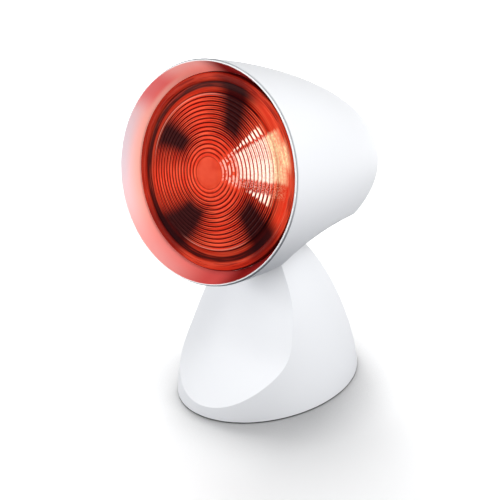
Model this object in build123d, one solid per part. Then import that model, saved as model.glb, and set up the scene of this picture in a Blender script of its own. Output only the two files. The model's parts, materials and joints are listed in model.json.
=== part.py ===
"""Infrared heat lamp: a tilting bullet head with a red reflector bulb on a flared base.

Millimetres and degrees, +Z up. The origin is on the table, under the middle of the whole lamp.
The lamp looks along -Y and is symmetric about the plane X = 0, apart from the tilt stop's parts.
Head parts are drawn in the head's own frame: its origin is the middle of the mouth, +Y runs
back along the bulb's axis and +Z is up across it. head_place then tilts them into the lamp.
"""
from build123d import *
from math import cos, pi, radians, sin, sqrt
import os

# ---------------------------------------------------------------- driving dimensions
# base: elliptical sections that close towards the top, cut by a hollow-flared front face
foot_gap = 0.8              # height of the shell's lower edge above the table
base_half_width = 53.7
base_half_depth = 72.3
base_y = -7.6               # middle of the footprint
base_lean = 0.066           # how far the sections' middles move forward per mm of height
base_top = 104.0
width_closes_above = 36.0   # above its top, the base's two outlines would come to a point here
depth_closes_above = 8.0
width_swell = 1.492
width_fullness = 1.178
depth_swell = 1.536
depth_fullness = 1.755
base_top_round = 2.5
base_wall = 2.6
# the front face is turned about an upright axis, behind the footprint's middle
face_axis_share = 0.31535   # of the base's half depth
face_height_shares = (0.11538, 0.21154, 0.33654, 0.48077, 0.67308, 0.91346)     # of the base's top
face_radius_shares = (1.26833, 1.14661, 0.99447, 0.88935, 0.77732, 0.67082)     # of its half depth

# base plate, its screws and feet
plate_thickness = 2.5
plate_gap = 0.3
plate_slots = 7
plate_slot_length = 26.0
plate_slot_width = 2.2
plate_slot_pitch = 5.0
post_radius = 4.5
post_inset_x = 23.7         # from the footprint's side and end to a screw post
post_inset_y = 42.3
foot_radius = 6.5
foot_sunk = 1.2
foot_inset_x = 26.7         # and to a foot
foot_inset_y = 26.3
screw_radius = 1.5
screw_head_radius = 2.8
screw_head_height = 1.6
screw_grip = 7.0            # how far a screw reaches into its post
hole_ease = 0.2

# hinge between base and head
hinge_forward = 3.2         # in front of the footprint's middle
hinge_above_base = 12.0
hinge_behind_mouth = 71.0
hinge_above_belly = 32.8    # above the head's lowest line
rest_tilt = 12.0
pin_radius = 3.0
running_gap = 0.05
moving_gap = 0.4
knuckle_radius = 7.5
knuckle_half_width = 16.0
neck_half_width = 14.0
neck_half_depth = 6.0
neck_flange_drop = 21.0     # from the base's top down to the flange
neck_flange_thickness = 3.0
neck_flange_half_width = 24.5
neck_flange_half_depth = 11.0
neck_post_radius = 3.6
neck_post_x = 20.6
neck_post_y = 6.5
wire_bore_radius = 1.6
wire_bore_x = 5.0
wire_bore_back = 4.6
spacer_radius = 5.5
lug_radius = 8.0
lug_thickness = 2.6

# tilt stop: a notched plate on the knuckle and a sprung plunger in the head
index_step = 8.0
index_notches_below_rest = 1
index_notches_above_rest = 3
index_plate_radius = 13.5
index_plate_thickness = 2.0
index_notch_depth = 1.0
index_notch_radius = 1.5
index_screw_radius = 1.0
index_screw_head_radius = 1.7
index_screw_place = 5.4
index_screw_length = 6.0
plunger_angle = 48.0        # above straight back, in the head's frame
plunger_radius = 1.4
plunger_length = 6.0
plunger_housing_size = 6.0
plunger_housing_length = 12.0
plunger_wall = 1.2
spring_wire = 0.35
spring_coils = 6

# head shell: a bullet that narrows from the mouth to its tail
mouth_around_bulb = 8.0     # from the bulb's rim to the shell's outside
tail_room = 17.7            # behind the lampholder
nose_power = 1.44
flank_power = 2.44
head_wall = 2.5
mouth_back = 0.6            # the shell's front edge stands this far behind the mouth plane
mouth_wall = 1.3
mouth_rebate = 16.0
slot_side_gap = 6.84        # beside the base's top
slot_in_front = 28.0        # from the hinge to the slot's two ends
slot_behind = 60.0
slot_front_round = 8.0
scoop_radius = 166.0        # shallow scoops under both flanks, beside the slot
scoop_beside_head = 108.0   # from the head's side and belly to a scoop's own axis
scoop_below_head = 73.6
scoop_yaw = 33.0
scoop_dip = 13.4
vent_count = 16
vent_width = 2.4
vent_inner_radius = 11.0
vent_outer_radius = 23.0

# front ring: the lip and the funnel between lip and bulb
lip_inset = 0.7             # from the shell's outside to the lip's
lip_width = 1.9
lip_edge = 0.5
lip_front = -0.6
ring_wall = 1.4
ring_gap = 0.3
ring_overlap = 4.4          # how far the funnel reaches back beside the bulb's rim
bulb_gap = 0.8

# reflector bulb, 122 mm across and 136 mm long, with a screw cap 27 mm across
bulb_radius = 61.0
bulb_length = 136.0
lens_pole = 1.0             # the glass's foremost point, behind the mouth plane
lens_rise = 7.5             # from the ribbed part's edge to its middle
lens_thickness = 3.0
smooth_centre_radius = 9.0
rib_count = 15
rib_depth = 0.55
rib_rise = 0.3              # share of a rib's width that its steep side takes
groove_width = 7.0          # plain groove between the ribs and the rim
groove_depth = 1.8
groove_side = 0.4
rim_width = 5.5
rim_slope = 1.2
rim_round = 1.5
rim_step = 1.1              # the rim's front stands this far behind the ribs' edge
rim_height = 4.9
glass_wall = 1.8
reflector_depth = 60.0      # from the rim to the paraboloid's own tip
bulb_neck_radius = 19.5
bulb_neck_taper = 8.0
cap_radius = 13.2
cap_wall = 0.5
cap_length = 25.0
thread_pitch = 3.62
thread_depth = 0.9
cap_plain = 2.0             # plain skirt in front of the thread
cap_shoulder = 1.0
contact_radius = 5.0
contact_height = 2.4
contact_edge = 0.5
insulator_height = 4.0
insulator_width = 3.0       # around the contact
filament_radius = 2.2
filament_length = 26.0
filament_back = 52.0
support_radius = 0.6
support_straight = 6.0      # the supports run back, in to the stem and back again
support_slant = 14.0
support_bend = 4.0
stem_width = 2.0            # of glass around the supports
stem_length = 4.0

# lampholder and its bracket
holder_radius = 21.5
holder_edge = 1.5
holder_lid_inset = 2.0      # the lid behind the flange, and its slope
holder_reach = 1.5          # how far its mouth stands in front of the bulb's cap
holder_floor = 7.0
holder_flange_radius = 23.4
holder_flange_thickness = 2.5
holder_flange_back = 21.0
sleeve_gap = 0.35
sleeve_wall = 0.6
tongue_width = 8.0
tongue_thickness = 0.8
bracket_radius = 31.5
bracket_thickness = 1.5
bracket_post_pitch = 27.6
bracket_post_radius = 3.4
bracket_posts = 3
sleeve_inset = 2.0
terminal_screw_radius = 1.75
terminal_screw_place = 13.5
terminal_head_width = 1.2
terminal_head_height = 1.4

# switch, cord inlet and terminal block in the base
switch_z = 32.0
switch_width = 21.0
switch_height = 17.0
switch_bezel = 1.5
switch_body_width = 18.8
switch_body_height = 14.0
switch_depth = 13.0
switch_recess = 0.4         # how far the bezel's upper corners lie inside the curved wall
switch_pocket_gap = 0.5
rocker_half_width = 7.8
rocker_half_height = 4.6
rocker_crown = 3.2          # the rocker's raised ends in front of its pivot
rocker_dish = 2.2
rocker_heel = 3.6
rocker_throw = 14.0
rocker_pivot_out = 0.4      # the pivot's place in front of the bezel's seat
rocker_stub_radius = 1.0
rocker_stub_length = 1.0
rocker_gap = 0.3
blade_width = 4.8
blade_thickness = 0.8
blade_length = 7.5
inlet_z = 13.0
inlet_bore_radius = 3.3
inlet_neck_radius = 5.0
inlet_flange_radius = 7.0
inlet_flange_thickness = 1.6
inlet_tail = 4.0
block_width = 24.0
block_depth = 15.0
block_height = 12.0
block_y = -30.0
block_ways = 3
block_screw_radius = 1.6

# ---------------------------------------------------------------- places worked out from them
low_centre = (Align.CENTER, Align.CENTER, Align.MIN)
high_centre = (Align.CENTER, Align.CENTER, Align.MAX)
width_closes_at = base_top + width_closes_above
depth_closes_at = base_top + depth_closes_above
face_axis_y = base_y + face_axis_share * base_half_depth
post_x = base_half_width - post_inset_x
post_y = base_half_depth - post_inset_y
foot_x = base_half_width - foot_inset_x
foot_y = base_half_depth - foot_inset_y
head_radius = bulb_radius + mouth_around_bulb
hinge_y = base_y - hinge_forward
hinge_z = base_top + hinge_above_base
hinge_below_axis = head_radius - hinge_above_belly
head_place = (
    Pos(0, hinge_y, hinge_z)
    * Rot(-rest_tilt, 0, 0)
    * Pos(0, -hinge_behind_mouth, hinge_below_axis)
)
hinge_line = Plane(origin=(0, hinge_y, hinge_z), x_dir=(0, 1, 0), z_dir=(1, 0, 0))
head_hinge_line = Plane(
    origin=(0, hinge_behind_mouth, -hinge_below_axis), x_dir=(0, 1, 0), z_dir=(1, 0, 0)
)
plate_bottom = foot_gap
plate_top = plate_bottom + plate_thickness
neck_flange_top = base_top - neck_flange_drop
bulb_end = lens_pole + bulb_length
cap_end = bulb_end - contact_height
cap_start = cap_end - cap_length
holder_front = cap_start - holder_reach
holder_back = bulb_end + tongue_thickness + holder_floor
holder_flange_front = holder_front + holder_flange_back
bracket_front = holder_flange_front - bracket_thickness
head_length = holder_back + tail_room
slot_front = hinge_behind_mouth - slot_in_front
slot_back = hinge_behind_mouth + slot_behind
rim_inner_radius = bulb_radius - rim_width
ribbed_radius = rim_inner_radius - groove_width
rim_front = lens_pole + lens_rise + rim_step
rim_back = rim_front + rim_height


# ---------------------------------------------------------------- small helpers
def turned(*outline):
    """A solid turned about the Y axis from (radius, distance back) points."""
    return revolve(make_face(Polyline(*outline, close=True)), axis=Axis.Y)


def rod(plane, radius, start, end):
    """A round bar along the plane's normal, from start to end."""
    return extrude(plane.offset(start) * Circle(radius), amount=end - start)


def block(x, y, z):
    """A box from its three (low, high) ranges."""
    ranges = (x, y, z)
    size = [high - low for low, high in ranges]
    middle = [(high + low) / 2 for low, high in ranges]
    return Pos(*middle) * Box(*size)


def post(x, y, z, radius, height):
    """An upright round bar that stands on the height z."""
    return Pos(x, y, z) * Cylinder(radius, height, align=low_centre)


def screw(length):
    """A pan-head screw, head up, with the seat of its head at Z = 0."""
    head = Cylinder(screw_head_radius, screw_head_height, align=low_centre)
    slot = Pos(0, 0, screw_head_height) * Box(2 * screw_head_radius, 0.7, screw_head_height)
    shank = Cylinder(screw_radius, length, align=high_centre)
    return head - slot + shank


def tube(plane, outer, inner, start, end):
    return rod(plane, outer, start, end) - rod(plane, inner, start - 1, end + 1)


def rear_plane(y, z):
    """An upright plane that faces the back of the lamp."""
    return Plane(origin=(0, y, z), x_dir=(-1, 0, 0), z_dir=(0, 1, 0))


# ---------------------------------------------------------------- the base's outer form
def base_ellipse(height, inset):
    """Half-width, half-depth and middle of the base's section at a height."""
    width = base_half_width * (1 - (height / width_closes_at) ** width_swell) ** (1 / width_fullness)
    depth = base_half_depth * (1 - (height / depth_closes_at) ** depth_swell) ** (1 / depth_fullness)
    return width - inset, depth - inset, base_y - base_lean * height


def base_dome(bottom, top, inset, steps=7):
    """The dome between two heights, moved inwards by inset."""
    sections = []
    for index in range(steps):
        height = bottom + (top - bottom) * index / (steps - 1)
        width, depth, middle = base_ellipse(height, inset)
        sections.append(Plane.XY.offset(height) * Pos(0, middle) * Ellipse(width, depth))
    return loft(sections)


def face_body(inset):
    """Everything behind the front face, moved back by inset."""
    radii = [share * base_half_depth - inset for share in face_radius_shares]
    heights = [share * base_top for share in face_height_shares]
    curve = list(zip(radii, heights))
    low_slope = (curve[1][0] - curve[0][0]) / (curve[1][1] - curve[0][1])
    high_slope = (curve[-1][0] - curve[-2][0]) / (curve[-1][1] - curve[-2][1])
    low_z = -1.0
    high_z = base_top + 1
    low = (curve[0][0] - low_slope * (curve[0][1] - low_z), low_z)
    high = (curve[-1][0] + high_slope * (high_z - curve[-1][1]), high_z)
    flare = Spline(*curve, tangents=[(low_slope, 1), (high_slope, 1)])
    rest = Polyline(curve[-1], high, (0, high_z), (0, low_z), low, curve[0])
    body = revolve(Plane.XZ * make_face([flare, rest]), axis=Axis.Z)
    return Pos(0, face_axis_y, 0) * body


def base_outer():
    dome = base_dome(foot_gap, base_top, 0) & face_body(0)
    return fillet(dome.edges().group_by(Axis.Z)[-1], base_top_round)


def base_inner():
    return base_dome(foot_gap, base_top - base_wall, base_wall) & face_body(base_wall)


def rear_of_base(height, half_width=0.0):
    """How far back the base's surface reaches at a height, beside the middle plane."""
    width, depth, middle = base_ellipse(height, 0)
    return middle + depth * sqrt(1 - (half_width / width) ** 2)


def plate_post_places():
    return [(side * post_x, base_y + end * post_y) for side in (-1, 1) for end in (-1, 1)]


def neck_post_places():
    return [(side * neck_post_x, hinge_y + end * neck_post_y) for side in (-1, 1) for end in (-1, 1)]


slot_half_width = base_ellipse(base_top, 0)[0] + slot_side_gap
switch_floor = (
    rear_of_base(switch_z + switch_height / 2, switch_width / 2) - switch_bezel - switch_recess
)
inlet_face = rear_of_base(inlet_z + inlet_flange_radius, inlet_flange_radius) - inlet_flange_thickness


# ---------------------------------------------------------------- base parts
def base_shell():
    outer = base_outer()
    shell = outer - base_inner()
    for x, y in plate_post_places():
        shell += post(x, y, plate_top, post_radius, base_top) & outer
        shell -= post(x, y, plate_top - 1, screw_radius, screw_grip + 1)
    for x, y in neck_post_places():
        shell += post(x, y, neck_flange_top, neck_post_radius, base_top) & outer
        shell -= post(x, y, neck_flange_top - 1, screw_radius, screw_grip + 1)
    # opening that the neck stands in
    reach = knuckle_half_width + plate_gap
    deep = knuckle_radius + plate_gap
    shell -= block((-reach, reach), (hinge_y - deep, hinge_y + deep), (neck_flange_top, base_top + 5))
    return shell_with_switch_pocket(shell_with_inlet_spot(shell, outer), outer)


def shell_with_switch_pocket(shell, outer):
    """A flat-floored pocket at the back, so that the switch sits level in the curved wall."""
    half_x = switch_width / 2 + switch_pocket_gap
    half_z = switch_height / 2 + switch_pocket_gap
    behind = switch_floor + base_half_depth
    tray = block(
        (-half_x - base_wall, half_x + base_wall),
        (switch_floor - base_wall, behind),
        (switch_z - half_z - base_wall, switch_z + half_z + base_wall),
    )
    shell += tray & outer
    shell -= block((-half_x, half_x), (switch_floor, behind), (switch_z - half_z, switch_z + half_z))
    hole_x = switch_body_width / 2 + running_gap
    hole_z = switch_body_height / 2 + running_gap
    return shell - block(
        (-hole_x, hole_x),
        (switch_floor - 2 * base_wall, switch_floor + 1),
        (switch_z - hole_z, switch_z + hole_z),
    )


def shell_with_inlet_spot(shell, outer):
    """A round flat spot with a hole for the cord inlet's bush."""
    spot = rear_plane(inlet_face, inlet_z)
    shell += rod(spot, inlet_flange_radius + base_wall, -base_wall, base_half_depth) & outer
    shell -= rod(spot, inlet_flange_radius + plate_gap, 0, base_half_depth)
    return shell - rod(spot, inlet_neck_radius + running_gap, -inlet_tail - base_wall, 1)


def base_plate():
    inset = base_wall + plate_gap
    plate = base_dome(plate_bottom, plate_top, inset, steps=3) & face_body(inset)
    for x, y in plate_post_places():
        plate -= post(x, y, 0, screw_radius + hole_ease, plate_top + 1)
        plate -= post(x, y, 0, screw_head_radius + hole_ease, plate_bottom + screw_head_height)
    for x, y in foot_places().values():
        plate -= post(x, y, 0, foot_radius + running_gap, plate_bottom + foot_sunk)
    for index in range(plate_slots):
        y = base_y + (index - (plate_slots - 1) / 2) * plate_slot_pitch
        plate -= Pos(0, y) * extrude(SlotOverall(plate_slot_length, plate_slot_width), plate_top + 1)
    return plate


def foot_places():
    ends = {"front": -1, "rear": 1}
    sides = {"left": -1, "right": 1}
    return {
        f"foot_{end}_{side}": (sides[side] * foot_x, base_y + ends[end] * foot_y)
        for end in ends
        for side in sides
    }


def foot(x, y):
    pad = post(x, y, 0, foot_radius, plate_bottom + foot_sunk)
    return chamfer(pad.edges().group_by(Axis.Z)[0], foot_gap / 2)


def plate_screws():
    seat = plate_bottom + screw_head_height
    length = plate_top - seat + screw_grip
    return Compound([Pos(x, y, seat) * Rot(180, 0, 0) * screw(length) for x, y in plate_post_places()])


# ---------------------------------------------------------------- neck and tilt stop's plate
def neck():
    barrel = rod(hinge_line, knuckle_radius, -knuckle_half_width, knuckle_half_width)
    flange_bottom = neck_flange_top - neck_flange_thickness
    column = block(
        (-neck_half_width, neck_half_width),
        (hinge_y - neck_half_depth, hinge_y + neck_half_depth),
        (flange_bottom, hinge_z),
    )
    flange = block(
        (-neck_flange_half_width, neck_flange_half_width),
        (hinge_y - neck_flange_half_depth, hinge_y + neck_flange_half_depth),
        (flange_bottom, neck_flange_top),
    )
    flange = fillet(flange.edges().filter_by(Axis.Z), neck_post_radius)
    body = barrel + column + flange
    body -= rod(hinge_line, pin_radius + running_gap, -knuckle_half_width - 1, knuckle_half_width + 1)
    for x, y in neck_post_places():
        body -= post(x, y, flange_bottom - 1, screw_radius + hole_ease, neck_flange_thickness + 2)
    for side in (-1, 1):
        bore = post(side * wire_bore_x, hinge_y + wire_bore_back, flange_bottom - 1, wire_bore_radius,
                    hinge_z + knuckle_radius)
        body -= bore
    for place in index_screw_places():
        body -= rod(place, index_screw_radius, -index_screw_length, 1)
    return body


def neck_screws():
    seat = neck_flange_top - neck_flange_thickness
    length = neck_flange_thickness + screw_grip
    return Compound([Pos(x, y, seat) * Rot(180, 0, 0) * screw(length) for x, y in neck_post_places()])


def index_screw_places():
    """Where the plate's two screws go in: planes on the knuckle's right end face."""
    faces = []
    for side in (-1, 1):
        centre = (knuckle_half_width, hinge_y + side * index_screw_place, hinge_z)
        faces.append(Plane(origin=centre, x_dir=(0, 1, 0), z_dir=(1, 0, 0)))
    return faces


def index_plate():
    """A round plate with a notch in its rim for each setting of the head."""
    face = hinge_line.offset(knuckle_half_width)
    plate = rod(face, index_plate_radius, 0, index_plate_thickness)
    plate -= rod(face, pin_radius + moving_gap, -1, index_plate_thickness + 1)
    middle = index_plate_radius + index_notch_radius - index_notch_depth
    for step in range(-index_notches_below_rest, index_notches_above_rest + 1):
        angle = radians(plunger_angle - rest_tilt - step * index_step)
        cutter = face * Pos(middle * cos(angle), middle * sin(angle), -1)
        plate -= cutter * Cylinder(index_notch_radius, index_plate_thickness + 2, align=low_centre)
    for place in index_screw_places():
        plate -= rod(place, index_screw_radius + running_gap, -1, index_plate_thickness + 1)
        plate -= rod(place, index_screw_head_radius + running_gap, index_plate_thickness / 2,
                     index_plate_thickness + 1)
    below = (hinge_z - index_plate_radius - 1, hinge_z - knuckle_radius)
    beside = (knuckle_half_width - 1, knuckle_half_width + index_plate_thickness + 1)
    around = (hinge_y - index_plate_radius, hinge_y + index_plate_radius)
    return plate - block(beside, around, below)


def index_screws():
    screws = []
    for place in index_screw_places():
        shank = rod(place, index_screw_radius, -index_screw_length, index_plate_thickness / 2)
        head = rod(place, index_screw_head_radius, index_plate_thickness / 2, index_plate_thickness)
        screws.append(shank + head)
    return Compound(screws)


# ---------------------------------------------------------------- switch
def rocker_profile(grow):
    """The rocker's outline seen along the X axis: (back, up) from its pivot, grown all round."""
    crown = rocker_crown + grow
    top = rocker_half_height + grow
    heel = rocker_heel + grow
    return Polyline(
        (crown, -top), (rocker_dish + grow, 0), (crown, top), (0, top), (-heel, top / 2),
        (-heel, -top / 2), (0, -top), close=True,
    )


rocker_pivot = Plane(
    origin=(0, switch_floor + rocker_pivot_out, switch_z), x_dir=(0, 1, 0), z_dir=(1, 0, 0)
)


def switch_rocker():
    lying = rocker_pivot * Rot(0, 0, rocker_throw / 2)
    body = extrude(lying * make_face(rocker_profile(0)), amount=rocker_half_width, both=True)
    reach = rocker_half_width + rocker_stub_length
    return body + rod(rocker_pivot, rocker_stub_radius, -reach, reach)


def switch_housing():
    bezel = block(
        (-switch_width / 2, switch_width / 2),
        (switch_floor, switch_floor + switch_bezel),
        (switch_z - switch_height / 2, switch_z + switch_height / 2),
    )
    bezel = fillet(bezel.edges().filter_by(Axis.Y), 1.5)
    body = block(
        (-switch_body_width / 2, switch_body_width / 2),
        (switch_floor - switch_depth, switch_floor),
        (switch_z - switch_body_height / 2, switch_z + switch_body_height / 2),
    )
    reach = sqrt(rocker_half_height ** 2 + rocker_crown ** 2) + rocker_gap
    inside = rocker_half_width + rocker_gap
    housing = bezel + body
    housing -= rod(rocker_pivot, reach, -inside, inside)
    stub = rocker_half_width + rocker_stub_length + rocker_gap
    housing -= rod(rocker_pivot, rocker_stub_radius + running_gap, -stub, stub)
    return housing


def switch_blades():
    behind = switch_floor - switch_depth
    blades = []
    for side in (-1, 1):
        z = switch_z + side * switch_body_height / 4
        blades.append(block(
            (-blade_width / 2, blade_width / 2),
            (behind - blade_length, behind),
            (z - blade_thickness / 2, z + blade_thickness / 2),
        ))
    return Compound(blades)


# ---------------------------------------------------------------- cord inlet and terminal block
def cord_inlet():
    spot = rear_plane(inlet_face, inlet_z)
    bush = rod(spot, inlet_flange_radius, 0, inlet_flange_thickness)
    bush = fillet(bush.edges().group_by(Axis.Y)[-1], inlet_flange_thickness / 3)
    inside = base_wall + inlet_tail
    bush += rod(spot, inlet_neck_radius, -inside, 0)
    return bush - rod(spot, inlet_bore_radius, -inside - 1, inlet_flange_thickness + 1)


def block_way_places():
    pitch = block_width / block_ways
    return [(index - (block_ways - 1) / 2) * pitch for index in range(block_ways)]


def terminal_block():
    y = base_y + block_y
    body = block((-block_width / 2, block_width / 2), (y - block_depth / 2, y + block_depth / 2),
                 (plate_top, plate_top + block_height))
    for x in block_way_places():
        body -= post(x, y, plate_top + block_height / 2, block_screw_radius + running_gap, block_height)
        way = Plane(origin=(x, y, plate_top + block_height / 3), x_dir=(1, 0, 0), z_dir=(0, 1, 0))
        body -= rod(way, block_screw_radius, -block_depth, block_depth)
    return body


def terminal_screws():
    y = base_y + block_y
    half = block_height / 2
    screws = []
    for x in block_way_places():
        shank = post(x, y, plate_top + half, block_screw_radius, half - 1)
        shank -= Pos(x, y, plate_top + block_height - 1) * Box(2 * block_screw_radius, 0.6, 1)
        screws.append(shank)
    return Compound(screws)


# ---------------------------------------------------------------- the head's outer form
def bullet(inset, steps=14):
    """The bullet with its wall moved inwards by inset, from the mouth plane to the tail."""
    radius = head_radius - inset
    length = head_length - inset
    curve = []
    for index in range(steps + 1):
        angle = pi / 2 * index / steps
        curve.append((radius * cos(angle) ** (2 / flank_power), length * sin(angle) ** (2 / nose_power)))
    curve[-1] = (0, length)
    side = Spline(*curve, tangents=[(0, 1), (-1, 0)])
    close = Polyline((0, length), (0, 0), (radius, 0))
    return revolve(make_face([side, close]), axis=Axis.Y)


def flank_scoops(grow):
    """The round cutters that hollow the flanks, grown by the wall for the inside."""
    cutters = []
    for side in (-1, 1):
        direction = (
            -side * sin(radians(scoop_yaw)) * cos(radians(scoop_dip)),
            cos(radians(scoop_yaw)) * cos(radians(scoop_dip)),
            -sin(radians(scoop_dip)),
        )
        centre = (side * (head_radius + scoop_beside_head), hinge_behind_mouth,
                  -head_radius - scoop_below_head)
        cutters.append(rod(Plane(origin=centre, z_dir=direction), scoop_radius + grow,
                           -head_length, head_length))
    return cutters


def scooped_bullet(inset):
    form = bullet(inset)
    for cutter in flank_scoops(inset):
        form -= cutter
    return form


def slot_cutter():
    """The opening under the head that the base's top stands in: square front, round back."""
    bend = slot_back - slot_half_width
    outline = make_face([
        Polyline((-slot_half_width, bend), (-slot_half_width, slot_front), (slot_half_width, slot_front),
                 (slot_half_width, bend)),
        ThreePointArc((slot_half_width, bend), (0, slot_back), (-slot_half_width, bend)),
    ])
    outline = fillet(outline.vertices().group_by(Axis.Y)[0], slot_front_round)
    return extrude(outline, amount=-2 * head_radius)


def bracket_post_planes(back):
    """Planes across the bulb's axis at the bracket's screws, facing the tail."""
    planes = []
    for index in range(bracket_posts):
        angle = radians(90 + index * 360 / bracket_posts)
        centre = (bracket_post_pitch * cos(angle), back, bracket_post_pitch * sin(angle))
        planes.append(Plane(origin=centre, x_dir=(1, 0, 0), z_dir=(0, 1, 0)))
    return planes


def head_shell():
    outer = scooped_bullet(0)
    shell = outer - scooped_bullet(head_wall)
    mouth = Plane(origin=(0, 0, 0), x_dir=(1, 0, 0), z_dir=(0, 1, 0))
    shell -= rod(mouth, head_radius - mouth_wall, -1, mouth_rebate)
    shell -= rod(mouth, 2 * head_radius, -1, mouth_back)
    shell -= slot_cutter()
    # lugs that carry the pin, beside the slot
    for side in (-1, 1):
        inner = side * slot_half_width
        outside = side * (slot_half_width + lug_thickness)
        across = (min(inner, outside), max(inner, outside))
        boss = rod(head_hinge_line, lug_radius, across[0], across[1])
        web = block(across, (hinge_behind_mouth - lug_radius, hinge_behind_mouth + lug_radius),
                    (-head_radius, -hinge_below_axis))
        shell += (boss + web) & outer
    shell -= rod(head_hinge_line, pin_radius, -head_radius / 2, head_radius / 2)
    for place in bracket_post_planes(holder_flange_front):
        shell += rod(place, bracket_post_radius, 0, head_length) & outer
        shell -= rod(place, screw_radius, -1, screw_grip)
    return shell - tail_vents()


def tail_vents():
    """Narrow slots that run out from the tail."""
    length = vent_outer_radius - vent_inner_radius
    middle = (vent_outer_radius + vent_inner_radius) / 2
    outline = SlotOverall(length, vent_width)
    plane = Plane(origin=(0, holder_back + 1, 0), x_dir=(1, 0, 0), z_dir=(0, 1, 0))
    slots = []
    for index in range(vent_count):
        slots.append(extrude(plane * Rot(0, 0, index * 360 / vent_count) * Pos(middle, 0) * outline,
                             amount=head_length))
    return slots


# ---------------------------------------------------------------- head parts
def front_ring():
    tube_outer = head_radius - mouth_wall - ring_gap
    throat = bulb_radius + bulb_gap
    lip_radius = head_radius - lip_inset
    lip_inner = lip_radius - lip_width
    ring_back = rim_front + ring_overlap
    return turned(
        (lip_inner, lip_front + lip_edge),
        (lip_inner + lip_edge, lip_front),
        (lip_radius - lip_edge, lip_front),
        (lip_radius, lip_front + lip_edge),
        (lip_radius, mouth_back),
        (tube_outer, mouth_back),
        (tube_outer, mouth_back + 2 * ring_wall),
        (throat + ring_wall, ring_back),
        (throat, ring_back),
    )


def hinge_pin():
    reach = slot_half_width + lug_thickness
    return rod(head_hinge_line, pin_radius, -reach, reach)


def spacer(side):
    """A bush on the pin that fills the room between the knuckle and a lug."""
    inner = knuckle_half_width + moving_gap
    if side > 0:
        inner += index_plate_thickness
    ends = sorted((side * inner, side * slot_half_width))
    return tube(head_hinge_line, spacer_radius, pin_radius + running_gap, ends[0], ends[1])


def plunger_plane(distance):
    """A plane across the plunger, at a distance from the hinge's axis, facing outwards."""
    angle = radians(plunger_angle)
    centre = (
        knuckle_half_width + index_plate_thickness / 2,
        hinge_behind_mouth + distance * cos(angle),
        -hinge_below_axis + distance * sin(angle),
    )
    return Plane(origin=centre, x_dir=(1, 0, 0), z_dir=(0, cos(angle), sin(angle)))


plunger_tip = index_plate_radius + moving_gap
housing_start = plunger_tip + plunger_radius


def detent_housing():
    """A bored arm that reaches from the right lug to the notched plate."""
    start = plunger_plane(housing_start)
    half = plunger_housing_size / 2
    reach = slot_half_width - knuckle_half_width - index_plate_thickness / 2
    body = extrude(start * Pos((reach - half) / 2, 0) * Rectangle(reach + half, plunger_housing_size),
                   amount=plunger_housing_length)
    bore = plunger_housing_length - plunger_wall
    body -= rod(start, plunger_radius + running_gap, -1, bore)
    angle = radians(plunger_angle)
    far = housing_start + plunger_housing_length / 2
    pad = block(
        (slot_half_width - lug_thickness, slot_half_width),
        (hinge_behind_mouth, hinge_behind_mouth + far * cos(angle)),
        (-hinge_below_axis + lug_radius - half, -hinge_below_axis + far * sin(angle)),
    )
    pad -= rod(head_hinge_line, lug_radius, slot_half_width - 2 * lug_thickness, slot_half_width + 1)
    return body + pad


def detent_plunger():
    start = plunger_plane(plunger_tip + plunger_radius)
    pin = rod(start, plunger_radius, 0, plunger_length - plunger_radius)
    return pin + start * Sphere(plunger_radius)


def detent_spring():
    seat = plunger_tip + plunger_length
    room = housing_start + plunger_housing_length - plunger_wall - seat
    radius = plunger_radius - spring_wire
    start = plunger_plane(seat + spring_wire)
    height = room - 2 * spring_wire
    path = Helix(pitch=height / spring_coils, height=height, radius=radius)
    wire = sweep(Plane(origin=path @ 0, z_dir=path % 0) * Circle(spring_wire), path=path)
    return start.location * wire


# ---------------------------------------------------------------- bulb
def lens_front(radius):
    """How far the lens's smooth front lies behind the mouth plane at a radius."""
    return lens_pole + lens_rise * (radius / ribbed_radius) ** 2


def bulb_lens():
    front = [(0, lens_pole), (smooth_centre_radius / 2, lens_front(smooth_centre_radius / 2)),
             (smooth_centre_radius, lens_front(smooth_centre_radius))]
    pitch = (ribbed_radius - smooth_centre_radius) / rib_count
    for index in range(rib_count):
        start = smooth_centre_radius + index * pitch
        steep = start + rib_rise * pitch
        front.append((steep, lens_front(steep) + rib_depth))
        front.append((start + pitch, lens_front(start + pitch)))
    edge = lens_front(ribbed_radius)
    rim = [
        (ribbed_radius + groove_side, edge + groove_depth),
        (rim_inner_radius, edge + groove_depth + groove_side),
        (rim_inner_radius + rim_slope, rim_front),
        (bulb_radius - rim_round, rim_front + rim_round / 3),
        (bulb_radius, rim_front + rim_round),
        (bulb_radius, rim_back),
        (rim_inner_radius, rim_back),
    ]
    back = [(radius, lens_front(radius) + lens_thickness + rib_depth)
            for radius in (ribbed_radius, 0.75 * ribbed_radius, ribbed_radius / 2, ribbed_radius / 4, 0)]
    return turned(*front, *rim, *back)


def reflector_radius(back):
    """Radius of the mirrored bowl at a distance behind the mouth plane."""
    return bulb_radius * sqrt((rim_back + reflector_depth - back) / reflector_depth)


def bulb_reflector():
    """The bulb's glass bowl and neck, open at the front and at the cap."""
    bowl_end = rim_back + reflector_depth * (1 - (bulb_neck_radius / bulb_radius) ** 2)
    steps = 6
    outside = []
    for index in range(steps + 1):
        back = rim_back + (bowl_end - rim_back) * (1 - (1 - index / steps) ** 1.6)
        outside.append((reflector_radius(back), back))
    seat = cap_radius - cap_wall - thread_depth
    neck_line = [(bulb_neck_radius, cap_start - bulb_neck_taper), (seat, cap_start)]
    outside_line = outside + neck_line
    inside_line = [(radius - glass_wall, back) for radius, back in reversed(outside_line)]
    return turned(*outside_line, *inside_line)


def thread_outline(radius, start, turns):
    """Rounded thread, crest out, along the bulb's axis."""
    line = []
    for index in range(4 * turns + 1):
        wave = (1 - cos(pi / 2 * index)) / 2
        line.append((radius - thread_depth * (1 - wave), start + index * thread_pitch / 4))
    return line


def cap_turns():
    return int((cap_length - insulator_height - cap_plain - cap_shoulder) / thread_pitch)


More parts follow.
